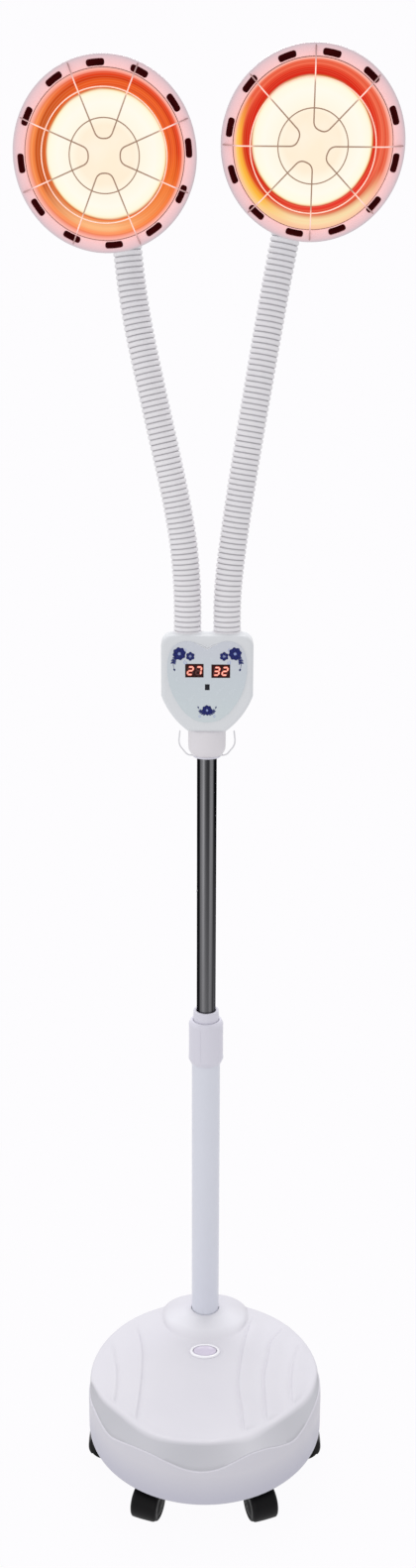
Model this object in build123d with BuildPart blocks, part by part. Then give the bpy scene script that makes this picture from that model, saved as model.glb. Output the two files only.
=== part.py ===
from build123d import *
import math
import os

# Two-headed infrared heat lamp on a wheeled floor stand.
# Millimetres, +X to the lamp's left-hand head seen from behind (viewer's right),
# -Y to the front (where the heads shine), +Z up.
# Origin on the floor under the centre of the round base.

os.makedirs("parts", exist_ok=True)

# ---------------------------------------------------------------- dimensions
# base
SKIRT_R = 156.0          # lower band of the base cover
UPPER_R = 152.5          # upper band of the base cover
COVER_T = 3.0            # wall of the moulded cover
COVER_Z0, COVER_Z1 = 52.0, 127.0
LEDGE_Z = 106.0
EDGE_R = 14.0            # rounded top edge
BOSS_R, BOSS_Z = 60.0, 141.5   # domed boss round the foot of the pole
PLATE_T = 3.0
WEIGHT_R, WEIGHT_Z0, WEIGHT_Z1 = 112.0, 55.0, 80.0
POLE_Y = 120.0           # the stand's upright is behind the centre

# foot switch
SW_Y = 43.0
BEZEL_A, BEZEL_B = 21.5, 15.0
CAP_A, CAP_B = 16.2, 10.2
SW_TRAVEL = 3.0

# casters
CASTER_R = 119.0         # pitch radius of the swivel pins
CASTER_TRAIL = 17.0
WHEEL_R, WHEEL_W, WHEEL_GAP = 19.0, 11.0, 16.0
PIN_R = 4.0
# name, angle of the pin round the base, direction in which the wheels trail
CASTERS = (
    ("right", 0.0, 0.0),
    ("rear_right", 57.0, 75.0),
    ("rear_left", 123.0, 105.0),
    ("left", 180.0, 180.0),
    ("front_left", 236.0, 250.0),
    ("front_right", 304.0, 290.0),
)

# upright
OUT_R, OUT_BORE, OUT_Z1 = 19.0, 17.2, 584.0
IN_R, IN_BORE, IN_Z0, IN_Z1 = 12.5, 11.0, 330.0, 1004.0
NUT_R, NUT_Z0, NUT_Z1 = 23.5, 527.5, 586.0
COLLET_Z1 = 604.0

# control box
BOX_HALF, BOX_Y0, BOX_Y1 = 56.5, 92.0, 148.0
BOX_Z0, BOX_Z1, BOX_T = 992.0, 1113.0, 2.5
COLLAR_R, COLLAR_Z0, COLLAR_Z1 = 23.6, 956.0, 992.0

# flexible arms: hose outside diameter 35, cut at ball joints
HOSE_R, HOSE_BORE = 17.5, 8.0
BALL_R, CUP_R, NECK_R = 15.0, 15.3, 11.4
SHOULDER = 9.8           # from ball centre down to the shoulder of the hose
LIP = 3.0                # how far the cup wraps below the ball centre
ELBOW_R = 68.0           # centreline radius of the bend behind each head

# heads, measured back from the rim plane
RIM_R = 90.0
HEAD_L = 182.0           # rim plane to the end of the neck
HEADS = {
    # side: (rim centre, pitch down in degrees, sideways slope of the hose,
    #        turn of vents, turn of guard, lower joints of the arm)
    "left": ((-101.5, -120.0, 1627.0), 8.0, -0.11, 0.0, 0.0,
             ((-24.4, 120.0, 1145.0), (-30.5, 122.5, 1228.0),
              (-49.0, 127.0, 1322.0), (-69.5, 132.0, 1412.0)), 75.0),
    "right": ((101.5, -120.0, 1637.0), 13.0, 0.19, -15.8, -22.5,
              ((24.4, 120.0, 1145.0), (31.5, 122.5, 1225.0),
               (47.0, 128.0, 1330.0), (62.0, 134.0, 1420.0)), 88.0),
}

POLE = Plane(origin=(0, POLE_Y, 0), x_dir=(1, 0, 0), z_dir=(0, 0, 1))
POLE_XZ = Plane(origin=(0, POLE_Y, 0), x_dir=(1, 0, 0), z_dir=(0, -1, 0))
POLE_AXIS = Axis((0, POLE_Y, 0), (0, 0, 1))


def save(part, name):
    part.label = name
    export_step(part, f"parts/{name}.step")


def sub(a, b):
    return tuple(p - q for p, q in zip(a, b))


def unit(a):
    n = math.sqrt(sum(p * p for p in a))
    return tuple(p / n for p in a)


def along(p, d, t):
    return tuple(a + b * t for a, b in zip(p, d))


# ================================================================ base
def boss(r, z1, limit, z0):
    """Dome of radius r and top z1 round the pole, from z0 up, inside the cylinder of radius limit."""
    h = z1 - COVER_Z1
    rim = COVER_Z1 - 0.12 * h
    with BuildPart() as dome:
        with BuildSketch(POLE_XZ):
            with BuildLine():
                pts = [(r * k, COVER_Z1 + h * (1 - k ** 2.6) ** 0.75) for k in (0, 0.3, 0.55, 0.75, 0.88, 0.96)]
                Spline(*pts, (r, rim), tangents=[(1, 0), (0, -1)])
                Polyline((r, rim), (r, z0), (0, z0), pts[0])
            make_face()
        revolve(axis=POLE_AXIS)
        with BuildSketch(Plane.XY.offset(z0 - 1)):
            Circle(limit)
        extrude(amount=z1 - z0 + 5, mode=Mode.INTERSECT)
    return dome.part


# --- moulded cover: stepped drum, open underneath, raised boss round the pole
with BuildPart() as base_cover:
    with BuildSketch(Plane.XZ):
        with BuildLine():
            c = UPPER_R - 1.5 - EDGE_R
            zc = COVER_Z1 - EDGE_R
            s = EDGE_R * math.sqrt(0.5)
            t = (EDGE_R - COVER_T) * math.sqrt(0.5)
            Polyline((0, COVER_Z1), (c, COVER_Z1))
            ThreePointArc((c, COVER_Z1), (c + s, zc + s), (c + EDGE_R, zc))
            Polyline((c + EDGE_R, zc), (UPPER_R, LEDGE_Z), (SKIRT_R - 0.8, LEDGE_Z - 1.5),
                     (SKIRT_R, LEDGE_Z - 4), (SKIRT_R, COVER_Z0 + 4), (SKIRT_R - 2, COVER_Z0),
                     (SKIRT_R - COVER_T, COVER_Z0), (SKIRT_R - COVER_T, LEDGE_Z - 5),
                     (UPPER_R - COVER_T, LEDGE_Z - 3), (c + EDGE_R - COVER_T, zc))
            ThreePointArc((c + EDGE_R - COVER_T, zc), (c + t, zc + t), (c, COVER_Z1 - COVER_T))
            Polyline((c, COVER_Z1 - COVER_T), (0, COVER_Z1 - COVER_T), (0, COVER_Z1))
        make_face()
    revolve(axis=Axis.Z)
    # domed boss round the foot of the pole, cut off by the outline of the drum
    add(boss(BOSS_R, BOSS_Z, UPPER_R - 1.5, 110))
    add(boss(BOSS_R - COVER_T, BOSS_Z - COVER_T, UPPER_R - 1.5 - COVER_T, 109), mode=Mode.SUBTRACT)
    # hole for the pole and for the foot switch
    with BuildSketch(POLE.offset(BOSS_Z - 8)):
        Circle(OUT_R + 0.7)
    extrude(amount=12, mode=Mode.SUBTRACT)
    with BuildSketch(Plane.XY.offset(COVER_Z1 - 6)):
        with Locations((0, SW_Y)):
            Ellipse(19.2, 12.8)
    extrude(amount=10, mode=Mode.SUBTRACT)
    # screw posts inside
    with BuildSketch(Plane.XY.offset(COVER_Z0 + PLATE_T)):
        with PolarLocations(138, 6):
            Circle(5)
    extrude(amount=COVER_Z1 - 2 - COVER_Z0 - PLATE_T)
    with BuildSketch(Plane.XY.offset(COVER_Z0 + PLATE_T - 1)):
        with PolarLocations(138, 6):
            Circle(1.9)
    extrude(amount=19, mode=Mode.SUBTRACT)
    # hole for the cord gland in the rear wall
    with BuildSketch(Plane.XZ.offset(-160)):
        with Locations((-55, 80)):
            Circle(7.1)
    extrude(amount=32, mode=Mode.SUBTRACT)
save(base_cover.part, "base_cover")

# --- steel floor plate that carries the casters, the weight and the pole
CASTER_PIN = [(CASTER_R * math.cos(math.radians(a)), CASTER_R * math.sin(math.radians(a)))
              for _, a, _ in CASTERS]
with BuildPart() as base_plate:
    with BuildSketch(Plane.XY.offset(COVER_Z0)):
        Circle(SKIRT_R - COVER_T - 0.5)
        with Locations(*CASTER_PIN):
            Circle(PIN_R, mode=Mode.SUBTRACT)
        with PolarLocations(138, 6):
            Circle(1.9, mode=Mode.SUBTRACT)
    extrude(amount=PLATE_T)
save(base_plate.part, "base_plate")

# --- cast iron weight, notched for the pole socket
with BuildPart() as counterweight:
    with BuildSketch(Plane.XY.offset(WEIGHT_Z0)):
        Circle(WEIGHT_R)
        Circle(24, mode=Mode.SUBTRACT)
        with Locations((0, POLE_Y)):
            Circle(36, mode=Mode.SUBTRACT)
    extrude(amount=WEIGHT_Z1 - WEIGHT_Z0)
save(counterweight.part, "counterweight")

# --- flanged socket for the outer tube
with BuildPart() as pole_socket:
    with BuildSketch(POLE.offset(COVER_Z0 + PLATE_T)):
        Circle(31)
    extrude(amount=6)
    with BuildSketch(POLE.offset(COVER_Z0 + PLATE_T + 6)):
        Circle(OUT_R + 5)
        Circle(OUT_R, mode=Mode.SUBTRACT)
    extrude(amount=59)
save(pole_socket.part, "pole_socket")

# --- six screws that hold the floor plate to the cover
with BuildPart() as base_screws:
    with BuildSketch(Plane.XY.offset(COVER_Z0 - 2.4)):
        with PolarLocations(138, 6):
            Circle(3.6)
    extrude(amount=2.4)
    with BuildSketch(Plane.XY.offset(COVER_Z0)):
        with PolarLocations(138, 6):
            Circle(1.9)
    extrude(amount=16)
save(base_screws.part, "base_screws")

# --- cord gland: threaded bush with a nut inside the wall
GLAND_R = 3.8
with BuildPart() as cord_gland:
    with BuildSketch(Plane.XZ.offset(-153)):
        with Locations((-55, 80)):
            Circle(9)
    extrude(amount=3.4)
    with BuildSketch(Plane.XZ.offset(-149.8)):
        with Locations((-55, 80)):
            Circle(7)
    extrude(amount=21)
    with BuildSketch(Plane.XZ.offset(-136.6)):
        with Locations((-55, 80)):
            RegularPolygon(10, 6)
    extrude(amount=6)
    with BuildSketch(Plane.XZ.offset(-154)):
        with Locations((-55, 80)):
            Circle(GLAND_R)
    extrude(amount=30, mode=Mode.SUBTRACT)
save(cord_gland.part, "cord_gland")

# --- foot switch: housing with its bezel, and the moving cap
with BuildPart() as switch_housing:
    with BuildSketch(Plane.XY.offset(102)):
        with Locations((0, SW_Y)):
            Ellipse(18.9, 12.5)
    extrude(amount=COVER_Z1 - 102)
    with BuildSketch(Plane.XY.offset(COVER_Z1)):
        with Locations((0, SW_Y)):
            Ellipse(BEZEL_A, BEZEL_B)
    extrude(amount=2.4)
    with BuildSketch(Plane.XY.offset(105)):
        with Locations((0, SW_Y)):
            Ellipse(CAP_A + 0.45, CAP_B + 0.45)
    extrude(amount=30, mode=Mode.SUBTRACT)
    fillet(switch_housing.edges().filter_by_position(Axis.Z, COVER_Z1 + 2.3, COVER_Z1 + 2.5).sort_by(SortBy.LENGTH)[-1], 1.2)
save(switch_housing.part, "switch_housing")

with BuildPart() as switch_button:
    with BuildSketch(Plane.XY.offset(105 + SW_TRAVEL + 0.6)):
        with Locations((0, SW_Y)):
            Ellipse(CAP_A, CAP_B)
    extrude(amount=COVER_Z1 + 2.2 - 105 - SW_TRAVEL - 0.6)
    fillet(switch_button.faces().sort_by(Axis.Z)[-1].edges(), 1.5)
save(switch_button.part, "switch_button")

# --- caster pins with their mounting discs, riveted to the floor plate
with BuildPart() as caster_stems:
    with BuildSketch(Plane.XY.offset(COVER_Z0 - 3)):
        with Locations(*CASTER_PIN):
            Circle(12)
    extrude(amount=3)
    with BuildSketch(Plane.XY.offset(30)):
        with Locations(*CASTER_PIN):
            Circle(PIN_R)
    extrude(amount=COVER_Z0 + PLATE_T + 2 - 30)
save(caster_stems.part, "caster_stems")

# --- one caster, pin at the origin, wheels trailing towards +X
with BuildPart() as fork:
    # twin-wheel hood
    with BuildSketch(Plane.XZ):
        with Locations((CASTER_TRAIL, WHEEL_R)):
            Circle(WHEEL_R + 2.8)
            Circle(WHEEL_R + 1.0, mode=Mode.SUBTRACT)
        with Locations((CASTER_TRAIL - 1, 10)):
            Rectangle(60, 26, mode=Mode.SUBTRACT)
    extrude(amount=WHEEL_GAP / 2 + WHEEL_W + 0.3, both=True)
    # central web that carries the axle
    with BuildSketch(Plane.XZ):
        with Locations((CASTER_TRAIL, WHEEL_R)):
            Circle(WHEEL_R + 1.6)
        with Locations((CASTER_TRAIL, 2)):
            Rectangle(60, 16, mode=Mode.SUBTRACT)
    extrude(amount=WHEEL_GAP / 2 - 0.5, both=True)
    # boss for the pin
    with BuildSketch(Plane.XY.offset(22)):
        Circle(WHEEL_GAP / 2 - 0.5)
    extrude(amount=25)
    with BuildSketch(Plane.XY.offset(29.5)):
        Circle(PIN_R + 0.05)
    extrude(amount=25, mode=Mode.SUBTRACT)
    with BuildSketch(Plane.XZ):
        with Locations((CASTER_TRAIL, WHEEL_R)):
            Circle(3.05)
    extrude(amount=20, both=True, mode=Mode.SUBTRACT)

with BuildPart() as wheel_pair:
    for side in (1, -1):
        y0 = side * WHEEL_GAP / 2
        y1 = side * (WHEEL_GAP / 2 + WHEEL_W)
        ym = side * (WHEEL_GAP / 2 + WHEEL_W - 1.4)
        with BuildSketch(Plane.XY.offset(WHEEL_R)):
            with BuildLine():
                x = CASTER_TRAIL
                Polyline((x + 3, y0), (x + WHEEL_R - 1, y0), (x + WHEEL_R, y0 + side * 1.0),
                         (x + WHEEL_R, y1 - side * 2.2), (x + WHEEL_R - 2.0, y1),
                         (x + 14, y1), (x + 12.6, ym), (x + 6, ym), (x + 5.4, y1), (x + 3, y1), (x + 3, y0))
            make_face()
        revolve(axis=Axis((CASTER_TRAIL, 0, WHEEL_R), (0, 1, 0)))
with BuildPart() as axle:
    with BuildSketch(Plane.XZ):
        with Locations((CASTER_TRAIL, WHEEL_R)):
            Circle(3)
    extrude(amount=WHEEL_GAP / 2 + WHEEL_W, both=True)

for (name, a, trail), (px, py) in zip(CASTERS, CASTER_PIN):
    at = Location((px, py, 0), (0, 0, trail))
    save(fork.part.moved(at), f"caster_fork_{name}")
    save(Compound(children=[*[s.moved(at) for s in wheel_pair.part.solids()], axle.part.solids()[0].moved(at)]),
         f"caster_wheels_{name}")

# ================================================================ upright
with BuildPart() as outer_tube:
    with BuildSketch(POLE.offset(COVER_Z0 + PLATE_T + 6)):
        Circle(OUT_R)
        Circle(OUT_BORE, mode=Mode.SUBTRACT)
    extrude(amount=OUT_Z1 - COVER_Z0 - PLATE_T - 6)
save(outer_tube.part, "outer_tube")

# split collet glued into the top of the outer tube; its cone stands out of the lock collar
with BuildPart() as tube_collet:
    with BuildSketch(POLE_XZ):
        with BuildLine():
            Polyline((IN_R + 0.3, 518), (OUT_BORE, 518), (OUT_BORE, OUT_Z1), (16.8, OUT_Z1),
                     (16.8, NUT_Z1 + 0.8), (17.0, NUT_Z1 + 1.2), (14.2, COLLET_Z1 - 1), (13.8, COLLET_Z1),
                     (IN_R + 0.3, COLLET_Z1), (IN_R + 0.3, 518))
        make_face()
    revolve(axis=POLE_AXIS)
save(tube_collet.part, "tube_collet")

# lock collar: gripped ring that is turned to clamp the inner tube
with BuildPart() as lock_collar:
    with BuildSketch(POLE_XZ):
        with BuildLine():
            Polyline((OUT_R + 0.3, NUT_Z0), (20.4, NUT_Z0), (20.8, NUT_Z0 + 0.6), (21.6, NUT_Z0 + 3.5),
                     (NUT_R, NUT_Z0 + 7), (NUT_R, NUT_Z1 - 7), (NUT_R - 0.9, NUT_Z1 - 4), (20.6, NUT_Z1),
                     (17.2, NUT_Z1), (17.2, OUT_Z1 + 0.4), (OUT_R + 0.3, OUT_Z1 + 0.4), (OUT_R + 0.3, NUT_Z0))
        make_face()
    revolve(axis=POLE_AXIS)
    # four broad grips, sunk between four ribs
    with BuildSketch(POLE.offset(NUT_Z0 + 9)):
        Circle(NUT_R + 2)
        Circle(NUT_R - 0.8, mode=Mode.SUBTRACT)
        with PolarLocations(NUT_R, 4, start_angle=59):
            Rectangle(6, 9.8, mode=Mode.SUBTRACT)
    extrude(amount=NUT_Z1 - NUT_Z0 - 18, mode=Mode.SUBTRACT)
save(lock_collar.part, "lock_collar")

# guide bush: slides in the outer tube and carries the foot of the inner tube
with BuildPart() as guide_bush:
    with BuildSketch(POLE.offset(IN_Z0 + 6)):
        Circle(OUT_BORE - 0.05)
        Circle(IN_R + 0.05, mode=Mode.SUBTRACT)
    extrude(amount=40)
save(guide_bush.part, "guide_bush")

# inner tube with two pressed beads that keep the bush in place
with BuildPart() as inner_tube:
    with BuildSketch(POLE_XZ):
        with BuildLine():
            Polyline((IN_BORE, IN_Z0), (14.2, IN_Z0), (14.2, IN_Z0 + 5.4), (IN_R, IN_Z0 + 5.4),
                     (IN_R, IN_Z0 + 46.6), (13.8, IN_Z0 + 46.6), (13.8, IN_Z0 + 50), (IN_R, IN_Z0 + 50),
                     (IN_R, IN_Z1), (IN_BORE, IN_Z1), (IN_BORE, IN_Z0))
        make_face()
    revolve(axis=POLE_AXIS)
save(inner_tube.part, "inner_tube")

# ================================================================ control box
# collar under the box
with BuildPart() as tube_collar:
    with BuildSketch(POLE_XZ):
        with BuildLine():
            Polyline((IN_R, COLLAR_Z0), (18, COLLAR_Z0), (19.2, COLLAR_Z0 + 1), (COLLAR_R, COLLAR_Z0 + 9),
                     (COLLAR_R, COLLAR_Z1), (IN_R, COLLAR_Z1), (IN_R, COLLAR_Z0))
        make_face()
    revolve(axis=POLE_AXIS)
save(tube_collar.part, "tube_collar")

# ring under the collar with two hooks for the lead and the goggles
HOOK_Y = POLE_Y
with BuildPart() as hook_ring:
    with BuildSketch(POLE.offset(COLLAR_Z0 - 2.6)):
        Circle(17.6)
        Circle(IN_R, mode=Mode.SUBTRACT)
    extrude(amount=2.6)
    for sx in (1, -1):
        with BuildLine(POLE_XZ) as hook_line:
            FilletPolyline((sx * 16, COLLAR_Z0 - 1.4), (sx * 24.5, COLLAR_Z0 - 1.2), (sx * 36, COLLAR_Z0 + 13),
                           (sx * 34, COLLAR_Z0 + 31), radius=16)
        with BuildSketch(Plane(origin=(sx * 16, HOOK_Y, COLLAR_Z0 - 1.4), z_dir=(sx, 0, 0))):
            Circle(1.3)
        sweep(path=hook_line.line)
save(hook_ring.part, "hook_ring")


def box_outline(shrink):
    h = BOX_HALF - shrink
    z1 = BOX_Z1 - shrink
    z0 = BOX_Z0 + shrink
    r = 14 - shrink
    with BuildLine() as outline:
        a = r * (1 - math.sqrt(0.5))
        Polyline((-h + r, z1), (h - r, z1))
        ThreePointArc((h - r, z1), (h - a, z1 - a), (h, z1 - r))
        Line((h, z1 - r), (h, 1037))
        ThreePointArc((h, 1037), (40.4 - shrink * 0.8, 1008.4 + shrink * 0.6), (23.2, z0))
        Line((23.2, z0), (-23.2, z0))
        ThreePointArc((-23.2, z0), (-40.4 + shrink * 0.8, 1008.4 + shrink * 0.6), (-h, 1037))
        Line((-h, 1037), (-h, z1 - r))
        ThreePointArc((-h, z1 - r), (-h + a, z1 - a), (-h + r, z1))
    return outline.edges()


BOX_BOSS = ((-45.5, 1092.5), (45.5, 1092.5), (-33, 1019), (33, 1019))
REAR_DRAFT = 11.0         # degrees that the rear half of the box narrows
ARM_X = 24.4
# windows in the front: (x centre, z centre, width, height)
WINDOWS = ((-15.6, 1069.6, 22.2, 16.6), (16.6, 1069.0, 22.6, 16.4), (0.2, 1049.0, 5.4, 7.0))

with BuildPart() as box_front_shell:
    with BuildSketch(Plane.XZ.offset(-POLE_Y)):
        make_face(box_outline(0))
    extrude(amount=POLE_Y - BOX_Y0)
    fillet(box_front_shell.faces().sort_by(Axis.Y)[0].edges(), 5)
    with BuildSketch(Plane.XZ.offset(-POLE_Y - 1)):
        make_face(box_outline(BOX_T))
    extrude(amount=POLE_Y + 1 - BOX_Y0 - BOX_T, mode=Mode.SUBTRACT)
    # screw posts
    with BuildSketch(Plane.XZ.offset(-POLE_Y)):
        with Locations(*BOX_BOSS):
            Circle(3.6)
    extrude(amount=POLE_Y - BOX_Y0 - 1.5)
    with BuildSketch(Plane.XZ.offset(-POLE_Y)):
        with Locations(*BOX_BOSS):
            Circle(1.8)
    extrude(amount=18, mode=Mode.SUBTRACT)
    for x, z, w, h in WINDOWS:
        with BuildSketch(Plane.XZ.offset(-BOX_Y0 - 5)):
            with Locations((x, z)):
                Rectangle(w + 0.4, h + 0.4)
        extrude(amount=8, mode=Mode.SUBTRACT)
    with BuildSketch(Plane.XY.offset(BOX_Z1 - 5)):
        with Locations((-ARM_X, POLE_Y), (ARM_X, POLE_Y)):
            Circle(HOSE_R - 0.2)
    extrude(amount=8, mode=Mode.SUBTRACT)
    with BuildSketch(Plane.XY.offset(BOX_Z0 - 2)):
        with Locations((0, POLE_Y)):
            Circle(IN_R)
    extrude(amount=8, mode=Mode.SUBTRACT)
save(box_front_shell.part, "box_front_shell")

with BuildPart() as box_rear_shell:
    with BuildSketch(Plane.XZ.offset(-POLE_Y)):
        make_face(box_outline(0))
    extrude(amount=-(BOX_Y1 - POLE_Y), taper=REAR_DRAFT)
    chamfer(box_rear_shell.faces().sort_by(Axis.Y)[-1].edges(), 3.5)
    with BuildSketch(Plane.XZ.offset(-POLE_Y)):
        make_face(box_outline(BOX_T))
    extrude(amount=-(BOX_Y1 - POLE_Y - BOX_T), taper=REAR_DRAFT, mode=Mode.SUBTRACT)
    with BuildSketch(Plane.XZ.offset(-POLE_Y)):
        with Locations(*BOX_BOSS):
            Circle(3.6)
    extrude(amount=-(BOX_Y1 - POLE_Y - 1.5))
    with BuildSketch(Plane.XZ.offset(-POLE_Y)):
        with Locations(*BOX_BOSS):
            Circle(1.8)
    extrude(amount=-(BOX_Y1 - POLE_Y + 1), mode=Mode.SUBTRACT)
    with BuildSketch(Plane.XZ.offset(-BOX_Y1 + 3)):
        with Locations(*BOX_BOSS):
            Circle(3.2)
    extrude(amount=-8, mode=Mode.SUBTRACT)
    with BuildSketch(Plane.XY.offset(BOX_Z1 - 9)):
        with Locations((-ARM_X, POLE_Y), (ARM_X, POLE_Y)):
            Circle(HOSE_R - 0.2)
    extrude(amount=12, mode=Mode.SUBTRACT)
    with BuildSketch(Plane.XY.offset(BOX_Z0 - 2)):
        with Locations((0, POLE_Y)):
            Circle(IN_R)
    extrude(amount=12, mode=Mode.SUBTRACT)
save(box_rear_shell.part, "box_rear_shell")

with BuildPart() as box_screws:
    with BuildSketch(Plane.XZ.offset(-BOX_Y1 + 3)):
        with Locations(*BOX_BOSS):
            Circle(3.1)
    extrude(amount=-2.4)
    with BuildSketch(Plane.XZ.offset(-104)):
        with Locations(*BOX_BOSS):
            Circle(1.8)
    extrude(amount=-(BOX_Y1 - 3 - 104))
save(box_screws.part, "box_screws")

# heart-shaped front panel
HEART = ((0, 1095.6), (13.4, 1103.0), (18, 1104.9), (24, 1105.8), (33, 1104.3), (41, 1099.5), (47.4, 1085),
         (48.6, 1070), (45.1, 1048), (37, 1030), (25.5, 1015), (13.5, 1007), (0, 1004.4))
with BuildPart() as front_panel:
    with BuildSketch(Plane.XZ.offset(-BOX_Y0)):
        with BuildLine():
            Polyline((-HEART[1][0], HEART[1][1]), (0, HEART[0][1]), HEART[1])
            Spline(*HEART[1:], *[(-x, z) for x, z in HEART[-2:0:-1]])
        make_face()
        for x, z, w, h in WINDOWS:
            with Locations((x, z)):
                Rectangle(w + 0.4, h + 0.4, mode=Mode.SUBTRACT)
    extrude(amount=1.0)
save(front_panel.part, "front_panel")

with BuildPart() as digit_displays:
    for x, z, w, h in WINDOWS[:2]:
        with BuildSketch(Plane.XZ.offset(-BOX_Y0 + 0.5)):
            with Locations((x, z)):
                Rectangle(w, h)
        extrude(amount=-8.5)
save(digit_displays.part, "digit_displays")

with BuildPart() as ir_window:
    with BuildSketch(Plane.XZ.offset(-BOX_Y0 + 0.7)):
        with Locations(WINDOWS[2][:2]):
            Rectangle(WINDOWS[2][2], WINDOWS[2][3])
    extrude(amount=-8.7)
save(ir_window.part, "ir_window")

with BuildPart() as circuit_board:
    with BuildSketch(Plane.XZ.offset(-100)):
        with Locations((0, 1060)):
            Rectangle(78, 62)
    extrude(amount=-1.6)
    with BuildSketch(Plane.XZ.offset(-101.6)):
        with Locations((-22, 1076), (22, 1076)):
            Rectangle(16, 20)
        with Locations((-24, 1046)):
            Rectangle(22, 18)
        with Locations((20, 1048)):
            Circle(6)
    extrude(amount=-14)
save(circuit_board.part, "circuit_board")

# sockets that hold the arms in the top of the box, each with the first ball
with BuildPart() as arm_ferrules:
    for sx in (1, -1):
        o = (sx * ARM_X, POLE_Y, 1145.0)
        with BuildSketch(Plane(origin=o, x_dir=(1, 0, 0), z_dir=(0, -1, 0))):
            with BuildLine():
                zt = math.sqrt(BALL_R ** 2 - HOSE_BORE ** 2)
                zn = math.sqrt(BALL_R ** 2 - NECK_R ** 2)
                Polyline((HOSE_BORE, zt), (HOSE_BORE, 1099 - 1145), (20, 1099 - 1145), (20, 1104.5 - 1145),
                         (HOSE_R - 0.3, 1104.5 - 1145), (HOSE_R - 0.3, -SHOULDER), (NECK_R, -SHOULDER), (NECK_R, -zn))
                ThreePointArc((NECK_R, -zn), (BALL_R, 0), (HOSE_BORE, zt))
            make_face()
        revolve(axis=Axis(o, (0, 0, 1)))
save(arm_ferrules.part, "arm_ferrules")


# ================================================================ arms
# Each arm is a corrugated sleeve over a gooseneck. It is cut into rigid pieces
# that meet at ball joints inside the sleeve.
def joint_plane(o, d):
    """A plane through o that holds d as its local +Y, with +X close to the lamp's X."""
    d = Vector(*d).normalized()
    x = (Vector(1, 0, 0) - d * d.dot(Vector(1, 0, 0))).normalized()
    return Plane(origin=o, x_dir=tuple(x), z_dir=tuple(x.cross(d)))


ZN = math.sqrt(BALL_R ** 2 - NECK_R ** 2)
ZT = math.sqrt(BALL_R ** 2 - HOSE_BORE ** 2)
CT = math.sqrt(CUP_R ** 2 - HOSE_BORE ** 2)
CL = math.sqrt(CUP_R ** 2 - LIP ** 2)
CM = (CUP_R * math.cos(math.radians(25)), CUP_R * math.sin(math.radians(25)))


def straight_piece(p, q, ball):
    """Hose from ball joint p towards q: cup below, ball above (or a plain end)."""
    d = unit(sub(q, p))
    L = math.dist(p, q)
    with BuildPart() as piece:
        with BuildSketch(joint_plane(p, d)):
            with BuildLine():
                if ball:
                    Polyline((CL, -LIP), (HOSE_R, -LIP), (HOSE_R, L - SHOULDER), (NECK_R, L - SHOULDER),
                             (NECK_R, L - ZN))
                    ThreePointArc((NECK_R, L - ZN), (BALL_R, L), (HOSE_BORE, L + ZT))
                    Line((HOSE_BORE, L + ZT), (HOSE_BORE, CT))
                else:
                    Polyline((CL, -LIP), (HOSE_R, -LIP), (HOSE_R, L), (HOSE_BORE, L), (HOSE_BORE, CT))
                ThreePointArc((HOSE_BORE, CT), CM, (CL, -LIP))
            make_face()
        revolve(axis=Axis(p, d))
    return piece


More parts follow.
